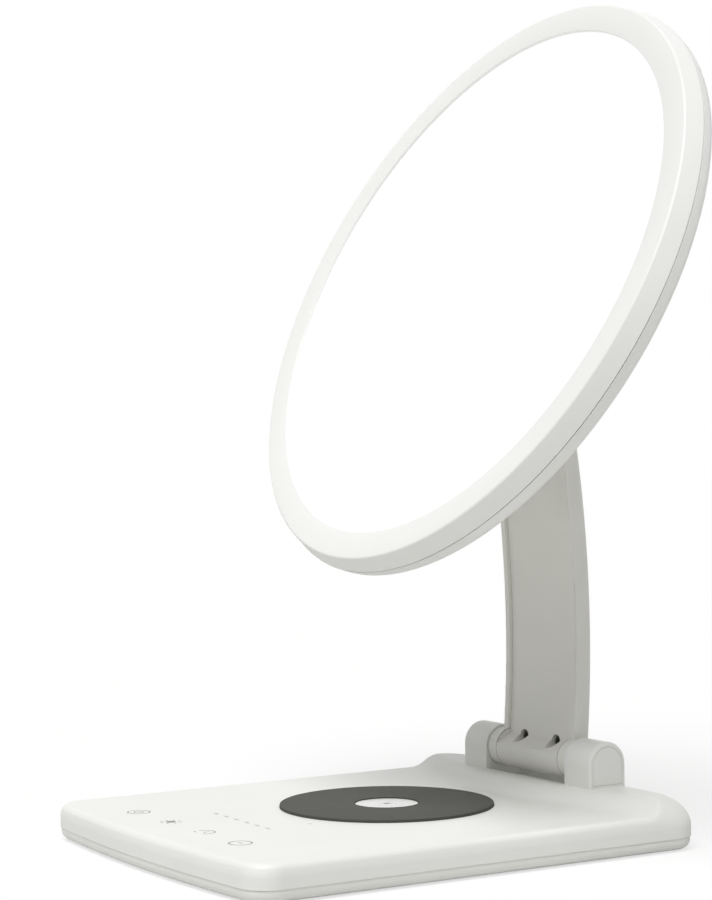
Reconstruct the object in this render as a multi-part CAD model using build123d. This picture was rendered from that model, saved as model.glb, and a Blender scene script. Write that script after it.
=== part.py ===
from build123d import *
import math
import os

os.makedirs("parts", exist_ok=True)

# Light therapy lamp: a flat base with a charging pad, a curved arm on a friction hinge, and a round
# lit panel on a second friction hinge. Lengths are in millimetres. +X runs along both hinge pins,
# -Y is the front and +Z is up. The origin is midway between the base's four corners, on the table.

# Base shell
BASE_WIDTH = 181.0
BASE_LENGTH = 207.6
BASE_CORNER_RADIUS = 12.0
FRONT_BOW = 5.0
WALL = 2.2
GROUND_GAP = 0.6
PARTING_Z = 5.5
SEAM = 0.25
DECK_Z = 15.4
PLATEAU_RISE = 6.0
STEP_SETBACK = 42.1
STEP_LENGTH = 14.0
STEP_BOW_RADIUS = 271.0
SIDE_START_Z = 10.0
SIDE_CLIP = 1.0
SIDE_OUTLINES = 7
RIM_ROUND = 3.0
TRAY_INSET = 0.4
TRAY_EDGE_ROUND = 3.8
TONGUE_HEIGHT = 2.0
TONGUE_THICKNESS = 1.4
FIT = 0.2

# Base fittings
BASE_SCREW_INSET = 15.0
BASE_BOSS_RADIUS = 4.2
BASE_SCREW_RADIUS = 1.5
BASE_SCREW_HEAD_RADIUS = 2.9
BASE_SCREW_HEAD_HEIGHT = 1.8
MAT_SIDE_MARGIN = 20.0
MAT_END_MARGIN = 10.8
MAT_CORNER_RADIUS = 12.0
MAT_RECESS = 1.0
BALLAST_SIDE_MARGIN = 23.0
BALLAST_LENGTH = 122.0
BALLAST_THICKNESS = 2.5
BALLAST_Y = -5.0
BALLAST_CORNER_RADIUS = 8.0
BALLAST_PEG_INSET = 12.0
BALLAST_PEG_RADIUS = 2.0

# Charging pad
PAD_Y = 8.0
PAD_RADIUS = 45.0
PAD_HOLE_RADIUS = 13.5
PAD_SINK = 0.6
PAD_STAND = 1.2
PAD_CENTRE_STAND = 0.7
COIL_OUTER_RADIUS = 21.0
COIL_INNER_RADIUS = 10.0
COIL_THICKNESS = 1.2
FERRITE_MARGIN = 2.0
FERRITE_THICKNESS = 0.8

# Touch keys and indicators
KEY_SETBACK = 18.1
KEY_COUNT = 4
KEY_PITCH = 29.7
CONTACT_RADIUS = 4.5
LEVEL_SETBACK = 42.6
LEVEL_COUNT = 6
LEVEL_PITCH = 8.8
LEVEL_LENGTH = 3.6
LEVEL_WIDTH = 1.1
LEVEL_RAIL_THICKNESS = 1.0
CHARGE_DOT_X = 22.0
CHARGE_DOT_SETBACK = 61.8
CHARGE_DOT_RADIUS = 0.7
LIGHT_PIPE_SINK = 0.05
LIGHT_PIPE_GAP = 0.1
INDICATOR_LED_SIZE = (1.6, 0.8, 0.7)

# Circuit boards
BOARD_THICKNESS = 1.6
TOUCH_BOARD_END_MARGIN = 11.4
TOUCH_BOARD_SETBACK = 7.8
TOUCH_BOARD_LENGTH = 60.0
TOUCH_BOARD_DROP = 2.1
TOUCH_CHIP_SIZE = (7.0, 7.0, 1.0)
TOUCH_SOCKET_SIZE = (12.0, 5.0, 3.0)
TOUCH_SOCKET_X = -30.0
CONTROL_BOARD_SIDE_INSET = 35.0
CONTROL_BOARD_Y = 38.0
CONTROL_BOARD_WIDTH = 40.0
CONTROL_BOARD_LENGTH = 34.0
CONTROL_BOARD_DROP = 3.2
BOARD_MARGIN = 3.0
BOARD_BOSS_RADIUS = 2.6
BOARD_SCREW_RADIUS = 1.0
BOARD_SCREW_HEAD_RADIUS = 1.9
BOARD_SCREW_HEAD_HEIGHT = 1.2
BOARD_SCREW_REACH = 1.7

# Power inlet
JACK_DROP = 5.2
JACK_SEAT_DEPTH = 4.6
JACK_FACE_DEPTH = 1.0
JACK_NOSE_RADIUS = 3.4
JACK_BORE_RADIUS = 2.75
JACK_BORE_DEPTH = 9.0
JACK_PIN_RADIUS = 1.0
JACK_PIN_DEPTH = 1.4
JACK_BODY_WIDTH = 9.0
JACK_BODY_LENGTH = 12.0
JACK_BODY_HEIGHT = 7.2

# Both hinges: ears on the base and on the panel, a barrel at each end of the arm
HINGE_SETBACK = 15.35
HINGE_RISE = 9.6
EAR_INNER_X = 29.4
EAR_OUTER_X = 47.1
EAR_RADIUS = 9.5
EAR_EDGE_ROUND = 1.2
EAR_CAP_RIM = 1.9
EAR_CAP_THICKNESS = 2.0
EAR_CAP_GAP = 0.15
EAR_POCKET_RADIUS = 6.0
EAR_POCKET_DEPTH = 4.5
TROUGH_DEPTH = 3.8
TROUGH_CLEARANCE = 0.5
PIN_RADIUS = 2.0
PIN_CLEARANCE = 0.05
PIN_HEAD_RADIUS = 4.5
PIN_HEAD_HEIGHT = 3.0
PIN_NUT_RADIUS = 4.6
PIN_NUT_HEIGHT = 4.0
BUSH_WALL = 0.5
BARREL_RADIUS = 8.6
BARREL_GAP = 0.5
WASHER_RADIUS = 6.6
WASHER_SINK = 2.2
WASHER_GAP = 0.3

# Ear brackets
BRACKET_THICKNESS = 1.7
BRACKET_SCREW_INSET = 6.8
BRACKET_SCREW_SPREAD = 2.6
BRACKET_SCREW_RADIUS = 1.2
BRACKET_SCREW_HEAD_RADIUS = 2.3
BRACKET_SCREW_HEAD_HEIGHT = 1.4
BRACKET_SCREW_REACH = 6.5

# Arm: a shallow bow between the two hinge pins, which lie on one bend circle
ARM_REACH = 196.8
ARM_LEAN = 4.857
ARM_BEND_RADIUS = 549.7
ARM_HALF_WIDTH = 26.2
ARM_FACE_TO_AXIS = 3.1
ARM_REAR_ROUND = 7.5
ARM_FRONT_ROUND = 0.8
ARM_WALL = 2.4
ARM_SOLID_END = 14.0
PLATE_HALF_WIDTH = 22.8
PLATE_RECESS = 1.6
PLATE_GAP = 0.12
SLOPE_TILT = 34.0
SLOPE_DEPTH = 6.2
CLAMP_X = 11.8
CLAMP_WEB = 0.35
CLAMP_BORE_RADIUS = 3.05
CLAMP_HEAD_GAP = 0.25
CLAMP_HEAD_HEIGHT = 1.6
CLAMP_SEAT = 1.4
CLAMP_BOSS_WALL = 1.3
CLAMP_BOSS_BACK = 3.0
CLAMP_SHANK_RADIUS = 1.2
CLAMP_REACH = 7.4
SPINE_HALF_WIDTH = 21.0
SPINE_THICKNESS = 2.0
SPINE_TUBE_RADIUS = 4.4
LEAD_RADIUS = 1.5
LEAD_PLUG = (9.0, 3.0, 7.0)

# Panel, drawn upright and facing -Y with depth counted back from its front rim
PANEL_LEAN = 26.6
PANEL_RADIUS = 135.8
PANEL_SHOULDER_WIDTH = 6.2
PANEL_SHOULDER_DEPTH = 5.4
PANEL_SIDE_DRAFT = 0.5
PANEL_PARTING_DEPTH = 8.4
PANEL_REAR_SPACE = 3.55
PANEL_REAR_ROUND = 4.0
PANEL_PIN_BEHIND = 11.0
PANEL_WALL = 2.4
BEZEL_WIDTH = 14.9
BEZEL_LIP_DROP = 0.7
DIFFUSER_OVERLAP = 4.8
DIFFUSER_DEPTH = 1.95
DIFFUSER_THICKNESS = 2.0
GUIDE_GAP = 0.35
GUIDE_THICKNESS = 4.0
REFLECTOR_THICKNESS = 0.45
STACK_GAP = 0.05
FRAME_GAP = 0.7
FRAME_FLANGE = 1.1
FRAME_SHEET = 1.0
STRIP_THICKNESS = 0.6
STRIP_HEIGHT = 3.2
CHIP_COUNT = 60
CHIP_SIZE = (1.2, 1.4, 3.5)
PANEL_TONGUE = 1.4
PANEL_SCREW_COUNT = 6
PANEL_SCREW_INSET = 26.1
PANEL_BOSS_RADIUS = 4.0
PANEL_SCREW_RADIUS = 1.2
PANEL_SCREW_HEAD_RADIUS = 2.6
PANEL_SCREW_HEAD_HEIGHT = 1.3
PANEL_SCREW_RECESS = 1.6
DRIVER_BOARD_WIDTH = 70.0
DRIVER_BOARD_HEIGHT = 30.0
DRIVER_BOARD_DROP = -62.0
DRIVER_BOARD_PEG = 1.5

# Heights and places that follow from the sizes above
BASE_FRONT_Y = -BASE_LENGTH / 2
BASE_REAR_Y = BASE_LENGTH / 2
COVER_BOTTOM_Z = PARTING_Z + SEAM
COVER_INNER_Z = DECK_Z - WALL
PLATEAU_Z = DECK_Z + PLATEAU_RISE
PLATEAU_INNER_Z = PLATEAU_Z - WALL
SIDE_ROUND = PLATEAU_Z - SIDE_START_Z + SIDE_CLIP
TRAY_FLOOR_Z = GROUND_GAP + WALL
TRAY_POST_Z = PARTING_Z + TONGUE_HEIGHT - SEAM
TOUCH_BOARD_TOP_Z = COVER_INNER_Z - TOUCH_BOARD_DROP
CONTROL_BOARD_TOP_Z = COVER_INNER_Z - CONTROL_BOARD_DROP
BASE_SCREW_X = BASE_WIDTH / 2 - BASE_SCREW_INSET
BASE_SCREW_Y = BASE_LENGTH / 2 - BASE_SCREW_INSET
BALLAST_WIDTH = BASE_WIDTH - 2 * BALLAST_SIDE_MARGIN
BALLAST_PEG_X = BALLAST_WIDTH / 2 - BALLAST_PEG_INSET
BALLAST_PEG_Y = BALLAST_LENGTH / 2 - BALLAST_PEG_INSET
KEY_Y = BASE_FRONT_Y + KEY_SETBACK
KEY_X = [(i - (KEY_COUNT - 1) / 2) * KEY_PITCH for i in range(KEY_COUNT)]
LEVEL_Y = BASE_FRONT_Y + LEVEL_SETBACK
LEVEL_X = [(i - (LEVEL_COUNT - 1) / 2) * LEVEL_PITCH for i in range(LEVEL_COUNT)]
CHARGE_DOT_Y = BASE_FRONT_Y + CHARGE_DOT_SETBACK
TOUCH_BOARD_WIDTH = KEY_PITCH * (KEY_COUNT - 1) + 2 * TOUCH_BOARD_END_MARGIN
TOUCH_BOARD_Y = BASE_FRONT_Y + TOUCH_BOARD_SETBACK + TOUCH_BOARD_LENGTH / 2
CONTROL_BOARD_X = CONTROL_BOARD_SIDE_INSET - BASE_WIDTH / 2
JACK_Z = DECK_Z - JACK_DROP
HINGE_Y = BASE_REAR_Y - HINGE_SETBACK
HINGE_Z = PLATEAU_Z + HINGE_RISE
SIDES = (-1, 1)

EAR_POCKET_FLOOR_X = EAR_OUTER_X - EAR_CAP_THICKNESS - EAR_POCKET_DEPTH
BORE_RADIUS = PIN_RADIUS + PIN_CLEARANCE
BUSH_RADIUS = BORE_RADIUS + BUSH_WALL
BARREL_BORE_RADIUS = BUSH_RADIUS + PIN_CLEARANCE
BARREL_HALF_LENGTH = EAR_INNER_X - BARREL_GAP
WASHER_SEAT_X = BARREL_HALF_LENGTH - WASHER_SINK
BRACKET_SCREW_X = EAR_INNER_X + BRACKET_SCREW_INSET
BASE_EAR_DROP = HINGE_Z - PLATEAU_INNER_Z
PANEL_EAR_DROP = PANEL_PIN_BEHIND + PANEL_WALL
BASE_CAP_DROP = HINGE_Z - PLATEAU_Z - EAR_CAP_RIM / 2
PANEL_CAP_DROP = PANEL_PIN_BEHIND - EAR_CAP_RIM / 2

ARM_FRONT_RADIUS = ARM_BEND_RADIUS - ARM_FACE_TO_AXIS
PLATE_RADIUS = ARM_FRONT_RADIUS + PLATE_RECESS
ARM_BACK_RADIUS = ARM_BEND_RADIUS + BARREL_RADIUS
ARM_HALF_ANGLE = math.degrees(math.asin(ARM_REACH / 2 / ARM_BEND_RADIUS))
ARM_END_ANGLE = math.degrees(ARM_SOLID_END / ARM_BEND_RADIUS)
CLAMP_RISE = BARREL_BORE_RADIUS + CLAMP_WEB + CLAMP_BORE_RADIUS
CLAMP_HEAD_RADIUS = CLAMP_BORE_RADIUS - CLAMP_HEAD_GAP
CLAMP_BOSS_RADIUS = CLAMP_BORE_RADIUS + CLAMP_BOSS_WALL
SPINE_FRONT_RADIUS = ARM_BEND_RADIUS + PLATE_GAP
SPINE_BACK_RADIUS = SPINE_FRONT_RADIUS + SPINE_THICKNESS
SPINE_FORK_HALF = CLAMP_X + CLAMP_BOSS_RADIUS + 2 * FIT
LEAD_BEND_RADIUS = SPINE_BACK_RADIUS + FIT + LEAD_RADIUS

GUIDE_DEPTH = DIFFUSER_DEPTH + DIFFUSER_THICKNESS + STACK_GAP
REFLECTOR_DEPTH = GUIDE_DEPTH + GUIDE_THICKNESS + STACK_GAP
FRAME_DEPTH = REFLECTOR_DEPTH + REFLECTOR_THICKNESS + STACK_GAP
FRAME_BACK_DEPTH = FRAME_DEPTH + FRAME_SHEET
PANEL_INNER_DEPTH = FRAME_BACK_DEPTH + PANEL_REAR_SPACE
PANEL_DEPTH = PANEL_INNER_DEPTH + PANEL_WALL
PIN_DEPTH = PANEL_DEPTH + PANEL_PIN_BEHIND
PANEL_RIM_RADIUS = PANEL_RADIUS - PANEL_SHOULDER_WIDTH
PANEL_SIDE_RADIUS = PANEL_RADIUS - PANEL_SIDE_DRAFT
PANEL_INNER_RADIUS = PANEL_SIDE_RADIUS - PANEL_WALL
BEZEL_INNER_RADIUS = PANEL_RADIUS - BEZEL_WIDTH
DIFFUSER_RADIUS = BEZEL_INNER_RADIUS + DIFFUSER_OVERLAP
FRAME_RADIUS = PANEL_RADIUS - PANEL_WALL - FIT - PANEL_TONGUE - FRAME_GAP
STRIP_OUTER_RADIUS = FRAME_RADIUS - FRAME_FLANGE
STRIP_MIDDLE_DEPTH = GUIDE_DEPTH + GUIDE_THICKNESS / 2
CHIP_BACK_RADIUS = STRIP_OUTER_RADIUS - STRIP_THICKNESS - STACK_GAP
GUIDE_RADIUS = CHIP_BACK_RADIUS - CHIP_SIZE[0] - GUIDE_GAP
PANEL_SCREW_CIRCLE = FRAME_RADIUS - PANEL_SCREW_INSET

# Frames: each takes a piece from its own drawing position to its place at rest
lean = math.radians(ARM_LEAN)
ARM_MIDDLE_Y = HINGE_Y - math.sin(lean) * ARM_REACH / 2
ARM_MIDDLE_Z = HINGE_Z + math.cos(lean) * ARM_REACH / 2
ARM_SAGITTA_RADIUS = ARM_BEND_RADIUS * math.cos(math.radians(ARM_HALF_ANGLE))
TILT_Y = HINGE_Y - math.sin(lean) * ARM_REACH
TILT_Z = HINGE_Z + math.cos(lean) * ARM_REACH
BASE_HINGE = Pos(0, HINGE_Y, HINGE_Z)
ARM = Pos(0, ARM_MIDDLE_Y, ARM_MIDDLE_Z) * Rot(ARM_LEAN, 0, 0) * Pos(0, -ARM_SAGITTA_RADIUS, 0)
ARM_LOWER_END = Rot(-ARM_HALF_ANGLE, 0, 0) * Pos(0, ARM_BEND_RADIUS, 0)
ARM_UPPER_END = Rot(ARM_HALF_ANGLE, 0, 0) * Pos(0, ARM_BEND_RADIUS, 0)
PANEL = Pos(0, TILT_Y, TILT_Z) * Rot(-PANEL_LEAN, 0, 0) * Pos(0, -PIN_DEPTH, 0)
PANEL_HINGE = PANEL * Pos(0, PIN_DEPTH, 0) * Rot(-90, 0, 0)


def slab(x_range, y_range, z_range):
    """Block between two limits on each axis."""
    low = [min(pair) for pair in (x_range, y_range, z_range)]
    size = [abs(pair[1] - pair[0]) for pair in (x_range, y_range, z_range)]
    return Pos(*low) * Box(*size, align=(Align.MIN, Align.MIN, Align.MIN))


def upright(radius, z_low, z_high):
    """Round bar along Z between two heights."""
    return Pos(0, 0, z_low) * extrude(Circle(radius), z_high - z_low)


def crossbar(radius, x_low, x_high):
    """Round bar along X between two places."""
    return Pos(x_low, 0, 0) * Rot(0, 90, 0) * extrude(Circle(radius), x_high - x_low)


def backbar(radius, y_low, y_high):
    """Round bar along Y between two places."""
    return Pos(0, y_low, 0) * Rot(-90, 0, 0) * extrude(Circle(radius), y_high - y_low)


def corners(x, y):
    """The four places (+-x, +-y) on the base."""
    return [Pos(a * x, b * y, 0) for a in SIDES for b in SIDES]


def turned(points):
    """Solid of revolution about the panel's own axis, from radius and depth points."""
    outline = Polyline(*points, close=True)
    return revolve(make_face(outline), Axis.Y)


# ---------------------------------------------------------------- base


def base_form(inset, underside, edge_round):
    """The base's outer form drawn in by inset: low deck, bowed step, rear plateau and rounded rim."""
    form = leaning_sides(inset, underside) & under_top_surface(inset, underside)
    tops = [face for face in form.faces() if is_top(face, DECK_Z - inset)]
    rim = {edge for face in tops for edge in face.edges() if not is_across_step(edge)}
    return fillet(list(rim), edge_round)


def is_top(face, deck):
    """True for the deck, the two faces of the step and the plateau."""
    return face.center().Z > deck - SEAM and face.geom_type in (GeomType.PLANE, GeomType.TORUS)


def is_across_step(edge):
    """True for an arc that runs across the base along the step."""
    return edge.geom_type == GeomType.CIRCLE and edge.radius > BASE_CORNER_RADIUS + SIDE_ROUND


def leaning_sides(inset, underside):
    """The base's sides drawn in by inset: upright at the foot, then closing over towards the top."""
    rounding = SIDE_ROUND - inset
    outlines = []
    for i in range(SIDE_OUTLINES):
        angle = math.radians(90 * i / (SIDE_OUTLINES - 1))
        drawn_in = inset + rounding * (1 - math.cos(angle))
        height = SIDE_START_Z + rounding * math.sin(angle)
        outlines.append(Pos(0, 0, height) * plan_outline(drawn_in, BASE_CORNER_RADIUS - inset))
    return plan_slab(inset, underside, SIDE_START_Z) + loft(outlines)


def plan_outline(inset, corner_radius):
    """The base's plan drawn in by inset: three straight sides, a bowed front and rounded corners."""
    half_width = BASE_WIDTH / 2 - inset
    front = BASE_FRONT_Y + inset
    rear = BASE_REAR_Y - inset
    bow = ThreePointArc((-half_width, front), (0, front - FRONT_BOW), (half_width, front))
    sides = Polyline(bow @ 1, (half_width, rear), (-half_width, rear), bow @ 0)
    plan = make_face(Curve() + [bow, sides])
    return fillet(plan.vertices(), corner_radius)


def under_top_surface(inset, underside):
    """Everything below deck, step and plateau, drawn in by inset: a section turned about the step's bow."""
    deck = DECK_Z - inset
    plateau = PLATEAU_Z - inset
    front = STEP_BOW_RADIUS + BASE_LENGTH
    rear = STEP_BOW_RADIUS - BASE_LENGTH / 2
    step_middle = (STEP_BOW_RADIUS - STEP_LENGTH / 2, (deck + plateau) / 2)
    hollow_arc = TangentArc((STEP_BOW_RADIUS, deck), step_middle, tangent=(-1, 0))
    crown_arc = TangentArc(hollow_arc @ 1, (STEP_BOW_RADIUS - STEP_LENGTH, plateau), tangent=hollow_arc % 1)
    lower_corners = [(rear, plateau), (rear, underside - 1), (front, underside - 1), (front, deck)]
    rest = Polyline(crown_arc @ 1, *lower_corners, hollow_arc @ 0)
    section = make_face(Curve() + [hollow_arc, crown_arc, rest])
    bow_centre_y = BASE_REAR_Y - STEP_SETBACK + STEP_BOW_RADIUS
    return Pos(0, bow_centre_y, 0) * Rot(0, 0, -135) * revolve(Plane.XZ * section, Axis.Z, 90)


def hinge_ear(side, drop):
    """One ear about a pin along X: arch-topped block, with its root drop below the pin."""
    arch = make_face(Curve() + arch_outline(EAR_RADIUS, drop))
    ear = extrude(Plane.YZ * arch, EAR_OUTER_X - EAR_INNER_X)
    outer_edges = ear.faces().sort_by(Axis.X)[-1].edges().filter_by(lambda edge: (edge @ 0.5).Z > -drop + 0.1)
    ear = Pos(EAR_INNER_X, 0, 0) * fillet(outer_edges, EAR_EDGE_ROUND)
    return ear if side > 0 else mirror(ear, about=Plane.YZ)


def arch_outline(radius, drop):
    """Half-round top on straight sides that run down to drop below the centre."""
    top = CenterArc((0, 0), radius, 0, 180)
    return [top, Polyline(top @ 1, (-radius, -drop), (radius, -drop), top @ 0)]


def arch_plate(radius, drop, x_low, x_high):
    """Plate with the ear's arched outline, between two places along the pin."""
    arch = make_face(Curve() + arch_outline(radius, drop))
    return Pos(x_low, 0, 0) * extrude(Plane.YZ * arch, x_high - x_low)


def ear_hollows(cap_drop):
    """What is cut from a pair of ears: pin bore, pockets for head and nut, recesses for the caps."""
    hollows = crossbar(BORE_RADIUS, -EAR_OUTER_X, EAR_OUTER_X)
    recess_radius = EAR_RADIUS - EAR_CAP_RIM
    for side in SIDES:
        pocket = crossbar(EAR_POCKET_RADIUS, EAR_POCKET_FLOOR_X, EAR_OUTER_X)
        cuts = pocket + arch_plate(recess_radius, cap_drop, EAR_OUTER_X - EAR_CAP_THICKNESS, EAR_OUTER_X + 1)
        hollows += cuts if side > 0 else mirror(cuts, about=Plane.YZ)
    return hollows


def ear_cap(side, cap_drop):
    """Cap that closes the outer end of an ear, flush with its face."""
    radius = EAR_RADIUS - EAR_CAP_RIM - EAR_CAP_GAP
    cap = arch_plate(radius, cap_drop - EAR_CAP_GAP, EAR_OUTER_X - EAR_CAP_THICKNESS, EAR_OUTER_X)
    plug_depth = EAR_CAP_THICKNESS + EAR_POCKET_DEPTH / 4
    cap += crossbar(EAR_POCKET_RADIUS - FIT, EAR_OUTER_X - plug_depth, EAR_OUTER_X - EAR_CAP_THICKNESS)
    plug_hollow = EAR_POCKET_RADIUS - FIT - TONGUE_THICKNESS / 2
    cap -= crossbar(plug_hollow, EAR_OUTER_X - plug_depth - 1, EAR_OUTER_X - EAR_CAP_THICKNESS)
    return cap if side > 0 else mirror(cap, about=Plane.YZ)


def ear_bracket_screws(drop):
    """Screws that run up from a bracket into both ears, in the hinge's own frame."""
    top = -drop + BRACKET_SCREW_REACH
    seat = -drop - BRACKET_THICKNESS
    screw = upright(BRACKET_SCREW_RADIUS, seat, top)
    screw += upright(BRACKET_SCREW_HEAD_RADIUS, seat - BRACKET_SCREW_HEAD_HEIGHT, seat)
    return Part() + [place * screw for place in corners(BRACKET_SCREW_X, BRACKET_SCREW_SPREAD)]


def ear_screw_holes(drop):
    """Pilot holes for the bracket screws, in the hinge's own frame."""
    z_range = (-drop - BRACKET_THICKNESS - 1, -drop + BRACKET_SCREW_REACH + 1)
    hole = upright(BRACKET_SCREW_RADIUS + PIN_CLEARANCE, *z_range)
    return Part() + [place * hole for place in corners(BRACKET_SCREW_X, BRACKET_SCREW_SPREAD)]


def base_top_cover():
    """Moulded top: deck, step and plateau in one skin, with ears, trough, pad pocket and bosses."""
    cover = base_form(0, COVER_BOTTOM_Z, RIM_ROUND)
    hollow = base_form(WALL, COVER_BOTTOM_Z - 1, RIM_ROUND / 3)
    trough_half = BARREL_RADIUS + TROUGH_CLEARANCE
    trough_y = (HINGE_Y - trough_half, HINGE_Y + trough_half)
    trough_z = PLATEAU_Z - TROUGH_DEPTH
    skin_half = EAR_INNER_X + WALL
    skin_y = (trough_y[0] - WALL, trough_y[1] + WALL)
    trough_skin = slab((-skin_half, skin_half), skin_y, (trough_z - WALL, PLATEAU_Z))
    cover -= hollow - trough_skin - jack_seat()
    for side in SIDES:
        cover += BASE_HINGE * hinge_ear(side, BASE_EAR_DROP)
    cover -= slab((-EAR_INNER_X, EAR_INNER_X), trough_y, (trough_z, HINGE_Z))
    cover -= BASE_HINGE * ear_hollows(BASE_CAP_DROP)
    cover -= BASE_HINGE * ear_screw_holes(BASE_EAR_DROP)
    cover -= Pos(0, PAD_Y, 0) * upright(PAD_RADIUS + FIT, DECK_Z - PAD_SINK, DECK_Z + 1)
    cover += cover_bosses()
    for x in LEVEL_X:
        slot_size = (LEVEL_LENGTH + 2 * LIGHT_PIPE_GAP, LEVEL_WIDTH + 2 * LIGHT_PIPE_GAP, 3 * WALL)
        cover -= Pos(x, LEVEL_Y, DECK_Z) * Box(*slot_size)
    dot_hole = upright(CHARGE_DOT_RADIUS + LIGHT_PIPE_GAP, COVER_INNER_Z - 1, DECK_Z + 1)
    jack_hole = backbar(JACK_NOSE_RADIUS + FIT, BASE_REAR_Y - 2 * JACK_SEAT_DEPTH, BASE_REAR_Y + 1)
    return cover - Pos(CHARGE_DOT_X, CHARGE_DOT_Y, 0) * dot_hole - Pos(0, 0, JACK_Z) * jack_hole


def jack_seat():
    """Flat-faced thickening inside the leaning rear wall that the power inlet bears on."""
    half_width = JACK_BODY_WIDTH / 2 + WALL
    y_range = (BASE_REAR_Y - JACK_SEAT_DEPTH, BASE_REAR_Y)
    return slab((-half_width, half_width), y_range, (PARTING_Z + TONGUE_HEIGHT + SEAM, PLATEAU_Z))


def cover_bosses():
    """Screw bosses under the cover: four for the tray, four for each board, with pilot holes."""
    bosses = Part()
    for place in corners(BASE_SCREW_X, BASE_SCREW_Y):
        top = PLATEAU_INNER_Z if place.position.Y > 0 else COVER_INNER_Z
        boss = upright(BASE_BOSS_RADIUS, TRAY_POST_Z + SEAM, top + SEAM)
        bosses += place * (boss - upright(BASE_SCREW_RADIUS + PIN_CLEARANCE, 0, top - WALL / 2))
    for places, top_z in board_mounts():
        boss = upright(BOARD_BOSS_RADIUS, top_z, COVER_INNER_Z + SEAM)
        boss -= upright(BOARD_SCREW_RADIUS + PIN_CLEARANCE, top_z - 1, top_z + BOARD_SCREW_REACH + SEAM)
        bosses += [place * boss for place in places]
    return bosses


def board_mounts():
    """Screw places of the touch board and the control board, each with its board's top height."""
    touch_middle = Pos(0, TOUCH_BOARD_Y, 0)
    touch_half = (TOUCH_BOARD_WIDTH / 2 - BOARD_MARGIN, TOUCH_BOARD_LENGTH / 2 - BOARD_MARGIN)
    touch = [touch_middle * place for place in corners(*touch_half)]
    control_middle = Pos(CONTROL_BOARD_X, CONTROL_BOARD_Y, 0)
    control_half = (CONTROL_BOARD_WIDTH / 2 - BOARD_MARGIN, CONTROL_BOARD_LENGTH / 2 - BOARD_MARGIN)
    control = [control_middle * place for place in corners(*control_half)]
    return [(touch, TOUCH_BOARD_TOP_Z), (control, CONTROL_BOARD_TOP_Z)]


def plan_slab(inset, z_low, z_high):
    """Upright slab with the base's rounded plan drawn in by inset."""
    return Pos(0, 0, z_low) * extrude(plan_outline(inset, BASE_CORNER_RADIUS - inset), z_high - z_low)


def base_bottom_tray():
    """Shallow tray that closes the base, with a locating tongue, screw posts and ballast pegs."""
    tray = plan_slab(TRAY_INSET, GROUND_GAP, PARTING_Z)
    tray = fillet(tray.faces().sort_by(Axis.Z)[0].edges(), TRAY_EDGE_ROUND)
    tongue_inset = WALL + FIT
    tray += plan_slab(tongue_inset, TRAY_FLOOR_Z, PARTING_Z + TONGUE_HEIGHT)
    tray -= plan_slab(tongue_inset + TONGUE_THICKNESS, TRAY_FLOOR_Z, PARTING_Z + TONGUE_HEIGHT + 1)
    for place in corners(BASE_SCREW_X, BASE_SCREW_Y):
        tray += place * upright(BASE_BOSS_RADIUS, TRAY_FLOOR_Z - SEAM, TRAY_POST_Z)
        tray -= place * upright(BASE_SCREW_RADIUS + FIT, 0, TRAY_POST_Z + 1)
        tray -= place * upright(BASE_SCREW_HEAD_RADIUS + FIT, 0, GROUND_GAP + BASE_SCREW_HEAD_HEIGHT + FIT)
    tray -= mat_slab(-FIT / 2, 0, GROUND_GAP + MAT_RECESS)
    peg_top = TRAY_FLOOR_Z + BALLAST_THICKNESS + FIT
    for place in corners(BALLAST_PEG_X, BALLAST_PEG_Y):
        tray += Pos(0, BALLAST_Y, 0) * place * upright(BALLAST_PEG_RADIUS, TRAY_FLOOR_Z - SEAM, peg_top)
    notch_half = JACK_BODY_WIDTH / 2 + FIT
    notch_z = JACK_Z - JACK_BODY_HEIGHT / 2 - FIT
    notch_y = (BASE_REAR_Y - tongue_inset - TONGUE_THICKNESS - 1, BASE_REAR_Y - WALL)
    return tray - slab((-notch_half, notch_half), notch_y, (notch_z, JACK_Z))


def mat_slab(inset, z_low, z_high):
    """Upright slab with the mat's outline drawn in by inset."""
    width = BASE_WIDTH - 2 * (MAT_SIDE_MARGIN + inset)
    length = BASE_LENGTH - 2 * (MAT_END_MARGIN + inset)
    outline = RectangleRounded(width, length, MAT_CORNER_RADIUS - inset)
    return Pos(0, 0, z_low) * extrude(outline, z_high - z_low)


def anti_slip_mat():
    """Rubber mat stuck into a shallow recess under the tray, which the lamp stands on."""
    mat = mat_slab(0, 0, GROUND_GAP + MAT_RECESS)
    return chamfer(mat.edges().group_by(Axis.Z)[0], GROUND_GAP / 4)


def base_screws():
    """Four screws that clamp the tray to the cover, heads sunk in the tray."""
    seat = GROUND_GAP + BASE_SCREW_HEAD_HEIGHT + FIT
    screw = upright(BASE_SCREW_HEAD_RADIUS, seat - BASE_SCREW_HEAD_HEIGHT, seat)
    screw += upright(BASE_SCREW_RADIUS, seat, COVER_INNER_Z - WALL)
    screw -= upright(BASE_SCREW_RADIUS / 2, 0, seat - BASE_SCREW_HEAD_HEIGHT / 2)
    return Part() + [place * screw for place in corners(BASE_SCREW_X, BASE_SCREW_Y)]


def ballast_plate():
    """Steel plate laid on the tray floor, held by pegs through its corner holes."""
    plate = Pos(0, 0, TRAY_FLOOR_Z) * extrude(
        RectangleRounded(BALLAST_WIDTH, BALLAST_LENGTH, BALLAST_CORNER_RADIUS), BALLAST_THICKNESS
    )
    for place in corners(BALLAST_PEG_X, BALLAST_PEG_Y):
        plate -= place * upright(BALLAST_PEG_RADIUS + FIT / 2, 0, DECK_Z)
    return Pos(0, BALLAST_Y, 0) * plate


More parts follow.
